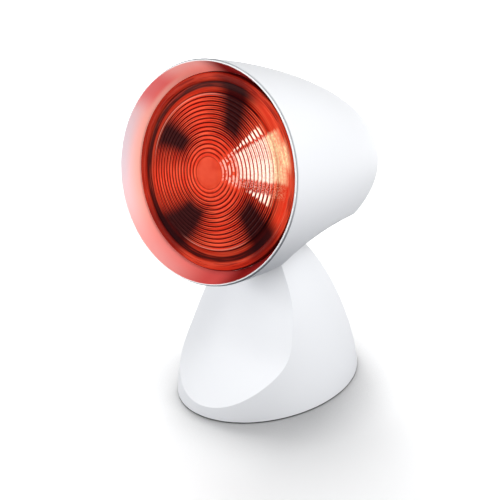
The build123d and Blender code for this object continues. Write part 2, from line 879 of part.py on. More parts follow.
def bulb_cap():
    skirt = cap_radius - thread_depth
    start = cap_start + cap_plain
    thread = thread_outline(cap_radius, start, cap_turns())
    end = cap_end - insulator_height
    close = [(skirt, end - cap_shoulder), (contact_radius + insulator_width, end)]
    outside = [(skirt, cap_start)] + thread + close
    inside = [(radius - cap_wall, back) for radius, back in reversed(outside)]
    return turned(*outside, *inside)


def bulb_cap_insulator():
    end = cap_end - insulator_height
    return turned((0, end), (contact_radius + insulator_width, end), (contact_radius, cap_end),
                  (0, cap_end))


def bulb_contact():
    return turned((0, cap_end), (contact_radius, cap_end),
                  (contact_radius - contact_edge, bulb_end - contact_edge),
                  (contact_radius - 3 * contact_edge, bulb_end), (0, bulb_end))


def filament():
    across = Plane(origin=(0, filament_back, 0), x_dir=(0, 1, 0), z_dir=(1, 0, 0))
    return tube(across, filament_radius, filament_radius - 0.5, -filament_length / 2, filament_length / 2)


def filament_supports():
    wires = []
    foot_radius_in_neck = cap_radius / 2
    for side in (-1, 1):
        x = side * (filament_length / 2 - 1)
        base = side * foot_radius_in_neck
        top = filament_back + filament_radius
        knee = top + filament_radius + support_straight
        path = FilletPolyline((x, top, 0), (x, knee, 0), (base, knee + support_slant, 0),
                              (base, cap_start, 0), radius=support_bend)
        wires.append(sweep(Plane(origin=path @ 0, z_dir=path % 0) * Circle(support_radius), path=path))
    return Compound(wires)


def glass_stem():
    radius = cap_radius / 2 + stem_width
    back = cap_start + stem_length
    return turned((0, cap_start), (radius, cap_start), (radius + stem_width, back), (0, back))


# ---------------------------------------------------------------- lampholder
def sleeve_radius():
    return cap_radius + sleeve_gap


def lampholder_body():
    bore = sleeve_radius() + sleeve_wall
    floor = bulb_end + tongue_thickness
    flange_back = holder_flange_front + holder_flange_thickness
    body = turned(
        (bore, holder_front), (holder_radius - holder_edge, holder_front),
        (holder_radius, holder_front + holder_edge),
        (holder_radius, holder_flange_front), (holder_flange_radius, holder_flange_front),
        (holder_flange_radius, flange_back), (holder_radius - holder_lid_inset, flange_back),
        (holder_radius - 2 * holder_lid_inset, holder_back), (0, holder_back), (0, floor), (bore, floor),
    )
    for place in terminal_screw_planes():
        body -= rod(place, terminal_screw_radius, -holder_floor, 1)
    return body


def terminal_screw_planes():
    planes = []
    for side in (-1, 1):
        centre = (side * terminal_screw_place, holder_back, 0)
        planes.append(Plane(origin=centre, x_dir=(1, 0, 0), z_dir=(0, 1, 0)))
    return planes


def lampholder_screws():
    screws = []
    for place in terminal_screw_planes():
        shank = rod(place, terminal_screw_radius, -0.7 * holder_floor, 0)
        head = rod(place, terminal_screw_radius + terminal_head_width, 0, terminal_head_height)
        screws.append(shank + head)
    return Compound(screws)


def lampholder_sleeve():
    inner = sleeve_radius()
    start = holder_front + sleeve_inset
    return turned((inner, start), (inner + sleeve_wall, start), (inner + sleeve_wall, cap_end),
                  (inner, cap_end))


def lampholder_tongue():
    half = tongue_width / 2
    return block((-half, half), (bulb_end, bulb_end + tongue_thickness), (-2 * half, half))


def lampholder_bracket():
    hub = Plane(origin=(0, bracket_front, 0), x_dir=(1, 0, 0), z_dir=(0, 1, 0))
    bracket = tube(hub, bracket_radius, holder_radius + running_gap, 0, bracket_thickness)
    for place in bracket_post_planes(bracket_front):
        bracket -= rod(place, screw_radius + hole_ease, -1, bracket_thickness + 1)
    return bracket


def bracket_screws():
    screws = []
    for place in bracket_post_planes(bracket_front):
        facing_front = Plane(origin=place.origin, x_dir=(1, 0, 0), z_dir=(0, -1, 0))
        screws.append(facing_front.location * screw(bracket_thickness + screw_grip - 1))
    return Compound(screws)


# ---------------------------------------------------------------- build and write
def build():
    base = {
        "base_shell": base_shell(),
        "base_plate": base_plate(),
        "plate_screws": plate_screws(),
        "neck": neck(),
        "neck_screws": neck_screws(),
        "index_plate": index_plate(),
        "index_screws": index_screws(),
        "switch_housing": switch_housing(),
        "switch_rocker": switch_rocker(),
        "switch_blades": switch_blades(),
        "cord_inlet": cord_inlet(),
        "terminal_block": terminal_block(),
        "terminal_screws": terminal_screws(),
    }
    for name, place in foot_places().items():
        base[name] = foot(*place)
    head = {
        "head_shell": head_shell(),
        "front_ring": front_ring(),
        "hinge_pin": hinge_pin(),
        "spacer_left": spacer(-1),
        "spacer_right": spacer(1),
        "detent_housing": detent_housing(),
        "detent_plunger": detent_plunger(),
        "detent_spring": detent_spring(),
        "bulb_lens": bulb_lens(),
        "bulb_reflector": bulb_reflector(),
        "bulb_cap": bulb_cap(),
        "bulb_cap_insulator": bulb_cap_insulator(),
        "bulb_contact": bulb_contact(),
        "filament": filament(),
        "filament_supports": filament_supports(),
        "glass_stem": glass_stem(),
        "lampholder_body": lampholder_body(),
        "lampholder_sleeve": lampholder_sleeve(),
        "lampholder_tongue": lampholder_tongue(),
        "lampholder_screws": lampholder_screws(),
        "lampholder_bracket": lampholder_bracket(),
        "bracket_screws": bracket_screws(),
    }
    placed = {name: head_place * shape for name, shape in head.items()}
    return {**base, **placed}


os.makedirs("parts", exist_ok=True)
for name, shape in build().items():
    export_step(shape, os.path.join("parts", name + ".step"))
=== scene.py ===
import json
from math import atan2, cos, pi, radians, sin, sqrt

import bmesh
import bpy
from mathutils import Matrix, Vector


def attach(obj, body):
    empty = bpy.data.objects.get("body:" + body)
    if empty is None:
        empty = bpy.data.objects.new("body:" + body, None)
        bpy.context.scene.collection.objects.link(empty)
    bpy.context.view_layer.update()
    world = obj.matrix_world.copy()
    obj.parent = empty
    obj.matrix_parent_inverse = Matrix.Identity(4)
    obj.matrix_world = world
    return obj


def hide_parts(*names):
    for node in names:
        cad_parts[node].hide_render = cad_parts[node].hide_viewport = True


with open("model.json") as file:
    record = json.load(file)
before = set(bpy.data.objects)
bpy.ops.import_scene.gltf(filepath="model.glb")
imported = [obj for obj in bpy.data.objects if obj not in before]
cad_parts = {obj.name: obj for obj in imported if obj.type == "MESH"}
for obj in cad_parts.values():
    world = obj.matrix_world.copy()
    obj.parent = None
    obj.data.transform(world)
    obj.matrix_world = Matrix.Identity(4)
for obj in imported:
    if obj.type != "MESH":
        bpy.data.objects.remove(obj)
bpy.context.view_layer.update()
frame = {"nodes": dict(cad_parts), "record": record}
print("frame loaded:", len(frame["nodes"]), "parts")

mm = 0.001

# where the head sits on the base: its own frame starts at the middle of the mouth,
# +Y runs back along the bulb and +Z is up across it
head = {
    "hingeY": -10.8 * mm,
    "hingeZ": 116.0 * mm,
    "hingeBehindMouth": 71.0 * mm,
    "hingeBelowAxis": 36.2 * mm,
    "tilt": 12.0,
}
headPlace = (
    Matrix.Translation((0, head["hingeY"], head["hingeZ"]))
    @ Matrix.Rotation(radians(-head["tilt"]), 4, "X")
    @ Matrix.Translation((0, -head["hingeBehindMouth"], head["hingeBelowAxis"]))
)


# what all meshes share
meshing = {"smoothAngle": 30.0, "weld": 2e-6, "thinnest": 1e-6, "normalWeight": 60}


def newPiece(name, bm, material=None, smoothAngle=meshing["smoothAngle"]):
    bm.normal_update()
    mesh = bpy.data.meshes.new(name)
    bm.to_mesh(mesh)
    bm.free()
    mesh.shade_smooth()
    mesh.set_sharp_from_angle(angle=radians(smoothAngle))
    if material is not None:
        mesh.materials.append(material)
    piece = bpy.data.objects.new(name, mesh)
    bpy.context.scene.collection.objects.link(piece)
    return piece


def spinProfile(points, segments):
    # points are (radius, back); the pole stays one vertex once doubles are merged
    bm = bmesh.new()
    verts = [bm.verts.new((r, y, 0)) for r, y in points]
    edges = [bm.edges.new(pair) for pair in zip(verts, verts[1:])]
    bmesh.ops.spin(bm, geom=verts + edges, cent=(0, 0, 0), axis=(0, 1, 0), dvec=(0, 0, 0),
                   angle=2 * pi, steps=segments, use_merge=True, use_duplicate=False)
    bmesh.ops.remove_doubles(bm, verts=bm.verts[:], dist=meshing["thinnest"])
    bmesh.ops.recalc_face_normals(bm, faces=bm.faces[:])
    return bm


def arc(middle, radius, start, turned, steps):
    # points of an arc with both its ends, from an angle and over a turn
    angles = [start + turned * i / steps for i in range(steps + 1)]
    return [(middle[0] + radius * cos(a), middle[1] + radius * sin(a)) for a in angles]


def extrudeOutline(bm, points, vec):
    face = bm.faces.new([bm.verts.new(p) for p in points])
    made = bmesh.ops.extrude_face_region(bm, geom=[face])
    moved = [g for g in made["geom"] if isinstance(g, bmesh.types.BMVert)]
    bmesh.ops.translate(bm, vec=vec, verts=moved)
    bmesh.ops.recalc_face_normals(bm, faces=bm.faces[:])


def outlineCutter(name, points, vec):
    bm = bmesh.new()
    extrudeOutline(bm, points, vec)
    return newPiece(name, bm)


def boxCutter(name, low, high):
    bm = bmesh.new()
    low, high = Vector(low), Vector(high)
    place = Matrix.Translation((low + high) / 2) @ Matrix.Diagonal(high - low).to_4x4()
    bmesh.ops.create_cube(bm, size=1, matrix=place)
    return newPiece(name, bm)


# turns a bar so that it runs back along +Y
backwards = Matrix.Rotation(-pi / 2, 4, "X")


def rodCutter(name, radius, start, end, place, segments=64):
    # a round bar along the place's own Z
    bm = bmesh.new()
    middle = Matrix.Translation((0, 0, (start + end) / 2))
    bmesh.ops.create_cone(bm, cap_ends=True, segments=segments, radius1=radius, radius2=radius,
                          depth=end - start, matrix=place @ middle)
    return newPiece(name, bm)


def cut(piece, cutter):
    step = piece.modifiers.new("cut", "BOOLEAN")
    step.operation = "DIFFERENCE"
    step.object = cutter
    step.solver = "MANIFOLD"
    bpy.context.view_layer.update()
    shaped = bpy.data.meshes.new_from_object(piece.evaluated_get(bpy.context.evaluated_depsgraph_get()))
    piece.modifiers.clear()
    old, cutterMesh = piece.data, cutter.data
    shaped.name = old.name
    piece.data = shaped
    bpy.data.objects.remove(cutter)
    for mesh in (old, cutterMesh):
        bpy.data.meshes.remove(mesh)


def finishMesh(piece):
    # welds what the cuts left and sets the smooth and sharp edges again
    bm = bmesh.new()
    bm.from_mesh(piece.data)
    bmesh.ops.remove_doubles(bm, verts=bm.verts[:], dist=meshing["weld"])
    bmesh.ops.dissolve_degenerate(bm, edges=bm.edges[:], dist=meshing["thinnest"])
    bm.to_mesh(piece.data)
    bm.free()
    piece.data.shade_smooth()
    piece.data.set_sharp_from_angle(angle=radians(meshing["smoothAngle"]))
    weigh = piece.modifiers.new("weighted", "WEIGHTED_NORMAL")
    weigh.keep_sharp = True
    weigh.weight = meshing["normalWeight"]


def newGroup(name, inputs, outputs):
    # inputs have their usual values, numbers or colours, and outputs their kinds
    group = bpy.data.node_groups.new(name, "ShaderNodeTree")
    for label, value in inputs.items():
        kind = "NodeSocketColor" if isinstance(value, tuple) else "NodeSocketFloat"
        group.interface.new_socket(label, in_out="INPUT", socket_type=kind).default_value = value
    for label, kind in outputs.items():
        group.interface.new_socket(label, in_out="OUTPUT", socket_type="NodeSocket" + kind)
    return group, group.nodes.new("NodeGroupInput"), group.nodes.new("NodeGroupOutput")


def fill(tree, node, values):
    # sockets are linked in, and constants are set
    for key, value in values.items():
        if isinstance(value, bpy.types.NodeSocket):
            tree.links.new(value, node.inputs[key])
        elif value is not None:
            node.inputs[key].default_value = value


def mathNode(tree, operation, a, b=None, c=None, clamp=False):
    node = tree.nodes.new("ShaderNodeMath")
    node.operation = operation
    node.use_clamp = clamp
    fill(tree, node, dict(enumerate((a, b, c))))
    return node.outputs[0]


def minus(tree, a, b):
    return mathNode(tree, "SUBTRACT", a, b)


def scaleAdd(tree, value, scale, added, clamp=False):
    return mathNode(tree, "MULTIPLY_ADD", value, scale, added, clamp)


def times(tree, *factors):
    result = factors[0]
    for factor in factors[1:]:
        result = mathNode(tree, "MULTIPLY", result, factor)
    return result


def largest(tree, *masks):
    result = masks[0]
    for mask in masks[1:]:
        result = mathNode(tree, "MAXIMUM", result, mask)
    return result


def softStep(tree, value, low, high, outLow=0.0, outHigh=1.0):
    node = tree.nodes.new("ShaderNodeMapRange")
    node.interpolation_type = "SMOOTHSTEP"
    fill(tree, node, {"Value": value, "From Min": low, "From Max": high, "To Min": outLow, "To Max": outHigh})
    return node.outputs["Result"]


def mixColours(tree, factor, a, b):
    node = tree.nodes.new("ShaderNodeMix")
    node.data_type = "RGBA"
    a, b = (c if isinstance(c, bpy.types.NodeSocket) else tuple(c) + (1,) for c in (a, b))
    fill(tree, node, {"Factor": factor, 6: a, 7: b})
    return node.outputs[2]


def noiseNode(tree, vector, scale, detail=3.0, roughness=0.55):
    node = tree.nodes.new("ShaderNodeTexNoise")
    fill(tree, node, {"Vector": vector, "Scale": scale, "Detail": detail, "Roughness": roughness})
    return node.outputs["Fac"]


def objectPlace(tree):
    return tree.nodes.new("ShaderNodeTexCoord").outputs["Object"]


def useGroup(tree, group, **values):
    node = tree.nodes.new("ShaderNodeGroup")
    node.node_tree = group
    fill(tree, node, values)
    return node


# moulded skin: a fine spark grain in the surface and a broad, faint drift of tone
skinGroup, given, out = newGroup(
    "mouldedSkin",
    {"Grain Scale": 900.0, "Drift Scale": 14.0, "Drift": 0.02, "Gloss": 0.3, "Gloss Drift": 0.06,
     "Colour": (0.8, 0.8, 0.8, 1)},
    {"Colour": "Color", "Roughness": "Float", "Height": "Float"})
place = objectPlace(skinGroup)
grain = noiseNode(skinGroup, place, given.outputs["Grain Scale"], 2.0)
drift = minus(skinGroup, noiseNode(skinGroup, place, given.outputs["Drift Scale"], 3.0), 0.5)
scaled = skinGroup.nodes.new("ShaderNodeVectorMath")
scaled.operation = "SCALE"
tone = scaleAdd(skinGroup, drift, given.outputs["Drift"], 1.0)
fill(skinGroup, scaled, {0: given.outputs["Colour"], "Scale": tone})
rough = scaleAdd(skinGroup, drift, given.outputs["Gloss Drift"], given.outputs["Gloss"], clamp=True)
fill(skinGroup, out, {"Colour": scaled.outputs[0], "Roughness": rough, "Height": grain})

# the head's own polar coordinates: how far from the bulb's axis, which way round and how far back
polarGroup, given, out = newGroup(
    "headPolar", {}, {"Radius": "Float", "Angle": "Float", "Back": "Float", "Streak": "Vector"})
turn = polarGroup.nodes.new("ShaderNodeMapping")
turn.vector_type = "POINT"
unturn = headPlace.inverted()
place = objectPlace(polarGroup)
fill(polarGroup, turn, {"Vector": place, "Rotation": unturn.to_euler(), "Location": unturn.translation})
split = polarGroup.nodes.new("ShaderNodeSeparateXYZ")
fill(polarGroup, split, {0: turn.outputs[0]})
across, back, up = split.outputs
distance = mathNode(polarGroup, "SQRT", scaleAdd(polarGroup, across, across, times(polarGroup, up, up)))
around = mathNode(polarGroup, "ARCTAN2", up, across)
# streaks are a millimetre fine across the radius and long round the circle
streakStretch = 2.5
streak = polarGroup.nodes.new("ShaderNodeCombineXYZ")
fill(polarGroup, streak, {
    0: times(polarGroup, distance, 1 / mm),
    1: times(polarGroup, mathNode(polarGroup, "COSINE", around), streakStretch),
    2: times(polarGroup, mathNode(polarGroup, "SINE", around), streakStretch)})
fill(polarGroup, out, {"Radius": distance, "Angle": around, "Back": back, "Streak": streak.outputs[0]})

# a sector round the bulb's axis: 1 inside, falling off over its soft edges
sectorGroup, given, out = newGroup(
    "sectorMask", {"Angle": 0.0, "Middle": 0.0, "Half": 0.3, "Soft": 0.1}, {"Mask": "Float"})
angle, middle, half, soft = given.outputs[:4]
facing = mathNode(sectorGroup, "COSINE", minus(sectorGroup, angle, middle))
away = mathNode(sectorGroup, "ARCCOSINE", facing)
inner, outer = minus(sectorGroup, half, soft), mathNode(sectorGroup, "ADD", half, soft)
fill(sectorGroup, out, {"Mask": softStep(sectorGroup, away, inner, outer, 1.0, 0.0)})


def sectorMask(tree, angle, middle, half, soft):
    # middle, half width and soft edge are in degrees
    node = useGroup(tree, sectorGroup, Angle=angle, Middle=radians(middle), Half=radians(half),
                    Soft=radians(soft))
    return node.outputs["Mask"]


def newMaterial(name):
    material = bpy.data.materials.new(name)
    material.use_nodes = True
    tree = material.node_tree
    return material, tree, tree.nodes["Principled BSDF"]


# what a moulded finish has where it says nothing else
usualFinish = {"grain": 900.0, "drift": 0.03, "glossDrift": 0.08, "bump": 0.06, "bumpReach": 0.2 * mm,
               "metallic": 0.0, "coat": 0.0, "coatRoughness": 0.08, "glass": 0.0, "specular": 0.5}


def mouldedFinish(name, settings):
    # also gives back what a finish that builds on it needs
    settings = {**usualFinish, **settings}
    material, tree, shader = newMaterial(name)
    skin = useGroup(tree, skinGroup, **{
        "Grain Scale": settings["grain"], "Drift": settings["drift"], "Gloss": settings["roughness"],
        "Gloss Drift": settings["glossDrift"], "Colour": settings["colour"] + (1,)})
    bump = tree.nodes.new("ShaderNodeBump")
    fill(tree, bump, {"Strength": settings["bump"], "Distance": settings["bumpReach"],
                      "Height": skin.outputs["Height"]})
    fill(tree, shader, {
        "Base Color": skin.outputs["Colour"], "Roughness": skin.outputs["Roughness"],
        "Normal": bump.outputs[0], "Metallic": settings["metallic"], "Coat Weight": settings["coat"],
        "Coat Roughness": settings["coatRoughness"], "Transmission Weight": settings["glass"],
        "Specular IOR Level": settings["specular"]})
    return material, tree, shader, skin.outputs["Colour"]


# finishes by the record's material slots
finishes = {
    "white_plastic": {"colour": (0.84, 0.85, 0.87), "roughness": 0.4, "specular": 0.12, "drift": 0.012,
                      "bump": 0.03, "grain": 1400.0},
    "grey_plastic": {"colour": (0.56, 0.57, 0.59), "roughness": 0.55, "bump": 0.25, "drift": 0.06},
    "nylon": {"colour": (0.78, 0.76, 0.69), "roughness": 0.48, "bump": 0.1, "drift": 0.08},
    "rubber": {"colour": (0.035, 0.035, 0.038), "roughness": 0.75, "bump": 0.4, "drift": 0.3, "grain": 700.0},
    "screw_steel": {"colour": (0.62, 0.61, 0.58), "roughness": 0.32, "metallic": 1.0, "drift": 0.2,
                    "glossDrift": 0.3},
    "sheet_steel": {"colour": (0.6, 0.6, 0.61), "roughness": 0.36, "metallic": 1.0, "drift": 0.15,
                    "glossDrift": 0.3},
    "black_plastic": {"colour": (0.022, 0.022, 0.024), "roughness": 0.28, "bump": 0.12, "drift": 0.2},
    "brass": {"colour": (0.74, 0.56, 0.26), "roughness": 0.3, "metallic": 1.0, "drift": 0.25,
              "glossDrift": 0.3},
    "mirror_glass": {"colour": (0.82, 0.82, 0.84), "roughness": 0.1, "metallic": 1.0, "drift": 0.05,
                     "bump": 0.02},
    "dark_glass": {"colour": (0.03, 0.02, 0.035), "roughness": 0.12, "coat": 0.6, "drift": 0.3,
                   "bump": 0.03},
    "clear_glass": {"colour": (0.92, 0.94, 0.94), "roughness": 0.05, "glass": 1.0, "drift": 0.02,
                    "bump": 0.02},
    "tungsten": {"colour": (0.3, 0.29, 0.28), "roughness": 0.45, "metallic": 1.0, "drift": 0.25},
    "porcelain": {"colour": (0.82, 0.8, 0.74), "roughness": 0.22, "coat": 0.5, "drift": 0.05, "bump": 0.05},
    "block_plastic": {"colour": (0.74, 0.73, 0.68), "roughness": 0.45, "bump": 0.1, "drift": 0.06},
}
materials = {slot: mouldedFinish(slot, settings)[0] for slot, settings in finishes.items()}


# base moulding: an oval dome with a hollow front face
base = {
    "gap": 0.8 * mm,
    "halfWidth": 53.7 * mm,
    "halfDepth": 72.3 * mm,
    "middle": -7.6 * mm,
    "lean": 0.066,
    "widthCloses": 140.0 * mm,
    "depthCloses": 112.0 * mm,
    "widthCurve": (1.492, 1.178),
    "depthCurve": (1.536, 1.755),
    "top": 104.0 * mm,
    "topRound": 2.5 * mm,
    "wall": 2.6 * mm,
    "faceAxis": 15.2 * mm,
    "faceHeights": [h * mm for h in (12.0, 22.0, 35.0, 50.0, 70.0, 95.0)],
    "faceRadii": [r * mm for r in (91.7, 82.9, 71.9, 64.3, 56.2, 48.5)],
    "creaseBottomHalf": 22.0 * mm,
    "creaseRound": 0.55 * mm,
    "faceColumns": 40,
    "sideColumns": 104,
    "lowRows": 10,
    "highRows": 54,
    "blendRows": 14,
    "roundRows": 5,
    "rowSpread": 1.25,
    "slopeSweeps": 40,
    "creaseBetween": (2 * mm, 60 * mm),
    "halvings": 50,
    "weld": 1e-7,
    "insideBottom": -2 * mm,
    "farBack": 120 * mm,
    "neckHole": (16.3 * mm, 7.8 * mm),
    "neckHoleHeights": (90 * mm, 110 * mm),
}


def faceSlopes():
    # slopes of a smooth curve through the face's radii, with straight runs beyond both ends
    h, r = base["faceHeights"], base["faceRadii"]
    last = len(h) - 1
    slopes = []
    for i in range(last + 1):
        before, after = max(i - 1, 0), min(i + 1, last)
        slopes.append((r[after] - r[before]) / (h[after] - h[before]))
    for sweep in range(base["slopeSweeps"]):
        for i in range(1, last):
            low, high = h[i] - h[i - 1], h[i + 1] - h[i]
            pull = 3 * ((r[i] - r[i - 1]) / low ** 2 + (r[i + 1] - r[i]) / high ** 2)
            slopes[i] = (pull - slopes[i - 1] / low - slopes[i + 1] / high) / (2 * (1 / low + 1 / high))
    return slopes


slopesOfFace = faceSlopes()


def faceRadius(z):
    h, r, m = base["faceHeights"], base["faceRadii"], slopesOfFace
    if z <= h[0]:
        return r[0] + m[0] * (z - h[0])
    if z >= h[-1]:
        return r[-1] + m[-1] * (z - h[-1])
    i = max(k for k in range(len(h) - 1) if h[k] <= z)
    step = h[i + 1] - h[i]
    t = (z - h[i]) / step
    return ((2 * t ** 3 - 3 * t ** 2 + 1) * r[i] + (t ** 3 - 2 * t ** 2 + t) * step * m[i]
            + (3 * t ** 2 - 2 * t ** 3) * r[i + 1] + (t ** 3 - t ** 2) * step * m[i + 1])


def ovalAt(z, inset=0.0):
    z = max(z, 0.0)
    swell, full = base["widthCurve"]
    a = base["halfWidth"] * (1 - (z / base["widthCloses"]) ** swell) ** (1 / full) - inset
    swell, full = base["depthCurve"]
    b = base["halfDepth"] * (1 - (z / base["depthCloses"]) ** swell) ** (1 / full) - inset
    return a, b, base["middle"] - base["lean"] * z


def creaseAt(z, inset=0.0):
    # where the face's circle meets the oval at a height: x and y, or None below the face
    a, b, middle = ovalAt(z, inset)
    radius, axis = faceRadius(z) - inset, base["faceAxis"]
    q = a * a / (b * b)
    # x^2 = a^2 - q (y - middle)^2 and x^2 = radius^2 - (y - axis)^2
    ka, kb = 1 - q, 2 * (q * middle - axis)
    kc = a * a - q * middle ** 2 + axis ** 2 - radius ** 2
    inside = kb * kb - 4 * ka * kc
    if inside < 0:
        return None
    y = (-kb - sqrt(inside)) / (2 * ka)
    if y < middle - b:
        return None
    square = a * a - q * (y - middle) ** 2
    return (sqrt(square), y) if square > 0 else None


def creaseHeight(x, inset=0.0):
    # the height at which the crease is x away from the middle plane
    low, high = base["creaseBetween"]
    for halving in range(base["halvings"]):
        z = (low + high) / 2
        found = creaseAt(z, inset)
        if found is None or found[0] < x:
            low = z
        else:
            high = z
    return high


def ovalPoint(z, angle, inset=0.0):
    # angle 0 is straight in front, growing towards +X
    a, b, middle = ovalAt(z, inset)
    return Vector((a * sin(angle), middle - b * cos(angle), z))


def facePoint(z, share, inset, creaseZ):
    # share runs from -1 to 1 across the face, as far as the creases reach at their own height
    x, y = creaseAt(creaseZ, inset)
    radius, axis = faceRadius(z) - inset, base["faceAxis"]
    angle = share * atan2(x, axis - y)
    return Vector((radius * sin(angle), axis - radius * cos(angle), z))


def ovalAngleOfCrease(z, inset=0.0):
    x, y = creaseAt(z, inset)
    a, b, middle = ovalAt(z, inset)
    return atan2(x / a, (middle - y) / b)


def baseBody(inset, bottom, top, topRound):
    # a grid is wrapped round the base: its columns are the face's, then the oval's
    faceCols, sideCols = base["faceColumns"], base["sideColumns"]
    count = faceCols + sideCols
    joinHeight = creaseHeight(base["creaseBottomHalf"], inset)
    joinAngle = ovalAngleOfCrease(joinHeight, inset)
    lowRows, highRows, roundRows = base["lowRows"], base["highRows"], base["roundRows"]
    rows = lowRows + highRows + (roundRows if topRound else 0)

    def place(column, row):
        onFace = column <= faceCols
        if onFace:
            share = 2 * column / faceCols - 1
            turned = share * joinAngle
            creaseX = ovalPoint(joinHeight, turned, inset).x
            dip = joinHeight - creaseHeight(abs(creaseX), inset)
        if row <= lowRows:
            t = row / lowRows
            if onFace:
                return ovalPoint(bottom + (joinHeight - dip - bottom) * t, turned, inset)
            angle = joinAngle + (2 * pi - 2 * joinAngle) * (column - faceCols) / sideCols
            return ovalPoint(bottom + (joinHeight - bottom) * t, angle, inset)
        step = row - lowRows
        if step <= highRows:
            z = joinHeight + (top - topRound - joinHeight) * (step / highRows) ** base["rowSpread"]
            moved = inset
        else:
            quarter = pi / 2 * (step - highRows) / roundRows
            z = top - topRound + topRound * sin(quarter)
            moved = inset + topRound * (1 - cos(quarter))
        if onFace:
            # near the bottom the columns keep their x, so that they meet the crease's level run
            fade = max(0.0, 1 - step / base["blendRows"])
            lift = dip * fade * fade
            z -= lift
            return facePoint(z, share, moved, z + lift if abs(share) < 1 else z)
        angle = ovalAngleOfCrease(z, moved)
        return ovalPoint(z, angle + (2 * pi - 2 * angle) * (column - faceCols) / sideCols, moved)

    bm = bmesh.new()
    bmesh.ops.create_grid(bm, x_segments=count, y_segments=rows, size=1)
    cell = {v: (round((v.co.x + 1) / 2 * count), round((v.co.y + 1) / 2 * rows)) for v in bm.verts}
    for v, (column, row) in cell.items():
        v.co = place(column, row)
    for e in bm.edges:
        (c0, r0), (c1, r1) = (cell[v] for v in e.verts)
        level = r0 == r1 == lowRows and max(c0, c1) <= faceCols
        rising = c0 == c1 and c0 in (0, faceCols, count) and min(r0, r1) >= lowRows
        e.seam = level or rising
    bmesh.ops.remove_doubles(bm, verts=bm.verts[:], dist=base["weld"])
    bmesh.ops.holes_fill(bm, edges=[e for e in bm.edges if e.is_boundary], sides=0)
    bmesh.ops.recalc_face_normals(bm, faces=bm.faces[:])
    return bm


def roundCrease(bm):
    # the caps at both ends have far more corners than the grid's faces and stay out of it
    crease = [e for e in bm.edges if e.seam and len(e.link_faces) == 2
              and all(len(f.verts) <= 8 for f in e.link_faces)]
    bmesh.ops.bevel(bm, geom=crease, offset=base["creaseRound"], offset_type="OFFSET", segments=3,
                    profile=0.5, affect="EDGES", clamp_overlap=True, material=-1)


backSwitch = {
    "floor": 49.4199 * mm,
    "height": 32.0 * mm,
    "pocket": (11.0 * mm, 9.0 * mm),
    "hole": (9.45 * mm, 7.05 * mm),
    "holeDepth": 10 * mm,
    "wall": 2.6 * mm,
}
backInlet = {
    "face": 58.1608 * mm,
    "height": 13.0 * mm,
    "spot": 7.3 * mm,
    "bore": 5.05 * mm,
    "boreDepth": 12 * mm,
}


def makeBase():
    bm = baseBody(0.0, base["gap"], base["top"], base["topRound"])
    roundCrease(bm)
    piece = newPiece("baseSkin", bm, materials["white_plastic"])
    bm = baseBody(base["wall"], base["insideBottom"], base["top"] - base["wall"], 0.0)
    inside = newPiece("baseInside", bm)
    # the switch's tray and the inlet's flat spot stay solid, so they're taken out of the inside first
    x, z = backSwitch["pocket"]
    floor, level, wall = backSwitch["floor"], backSwitch["height"], backSwitch["wall"]
    far = base["farBack"]
    low, high = (-x - wall, floor - wall, level - z - wall), (x + wall, far, level + z + wall)
    cut(inside, boxCutter("tray", low, high))
    inlet = Matrix.Translation((0, backInlet["face"], backInlet["height"])) @ backwards
    cut(inside, rodCutter("spot", backInlet["spot"] + wall, -wall, far, inlet))
    cut(piece, inside)
    cut(piece, boxCutter("pocket", (-x, floor, level - z), (x, far, level + z)))
    hx, hz = backSwitch["hole"]
    low, high = (-hx, floor - backSwitch["holeDepth"], level - hz), (hx, floor + mm, level + hz)
    cut(piece, boxCutter("hole", low, high))
    cut(piece, rodCutter("inletSpot", backInlet["spot"], 0, far, inlet))
    cut(piece, rodCutter("inletBore", backInlet["bore"], -backInlet["boreDepth"], mm, inlet))
    (reach, deep), (low, high), y = base["neckHole"], base["neckHoleHeights"], head["hingeY"]
    cut(piece, boxCutter("neckHole", (-reach, y - deep, low), (reach, y + deep, high)))
    finishMesh(piece)
    return piece


baseSkin = makeBase()
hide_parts("base_shell")
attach(baseSkin, "base")
print("base moulding:", len(baseSkin.data.polygons), "faces")


# head shell: a bullet with scooped flanks and a slot underneath
shell = {
    "radius": 69.0 * mm,
    "length": 162.5 * mm,
    "curve": (1.44, 2.44),
    "wall": 2.5 * mm,
    "mouthBack": 0.6 * mm,
    "mouthInner": 67.7 * mm,
    "mouthRebate": 16.0 * mm,
    "mouthRound": 0.6 * mm,
    "profileSteps": 56,
    "segments": 160,
    "slotHalfWidth": 29.304 * mm,
    "slotFront": 43.0 * mm,
    "slotBack": 131.0 * mm,
    "slotRound": 8.0 * mm,
    "scoopRadius": 166.0 * mm,
    "scoopX": 177.0 * mm,
    "scoopBelow": 142.6 * mm,
    "scoopYaw": 33.0,
    "scoopDip": 13.4,
    "scoopArc": 26.0,
    "scoopSegments": 110,
    "ventCount": 16,
    "ventWidth": 2.4 * mm,
    "ventFrom": 11.0 * mm,
    "ventTo": 23.0 * mm,
    "lugRadius": 8.0 * mm,
    "lugWall": 2.6 * mm,
    "lugStart": 1.3 * mm,
    "postPitch": 27.6 * mm,
    "postRadius": 3.4 * mm,
    "postFront": 129.1 * mm,
    "insideSegments": 96,
    "mouthSteps": 4,
    "cornerSteps": 12,
    "slotSteps": 48,
    "slotDepth": 140 * mm,
    "ventEndSteps": 8,
    "ventStart": 146 * mm,
    "ventDepth": 40 * mm,
    "lugSteps": 24,
    "lugDown": 80 * mm,
    "postBack": 200 * mm,
    "pinRadius": 3.0 * mm,
    "pinHalf": 34.5 * mm,
}
# painted shade: a thin dark line painted where the mouth's edge turns in behind the lip, weaker on one side
mouthShadeLine = {
    "colour": (0.06, 0.07, 0.09),
    "from": 0.8 * mm,
    "to": 1.25 * mm,
    "strength": 0.75,
    "weakSector": (38, 50, 16),
    "weaker": 0.65,
}


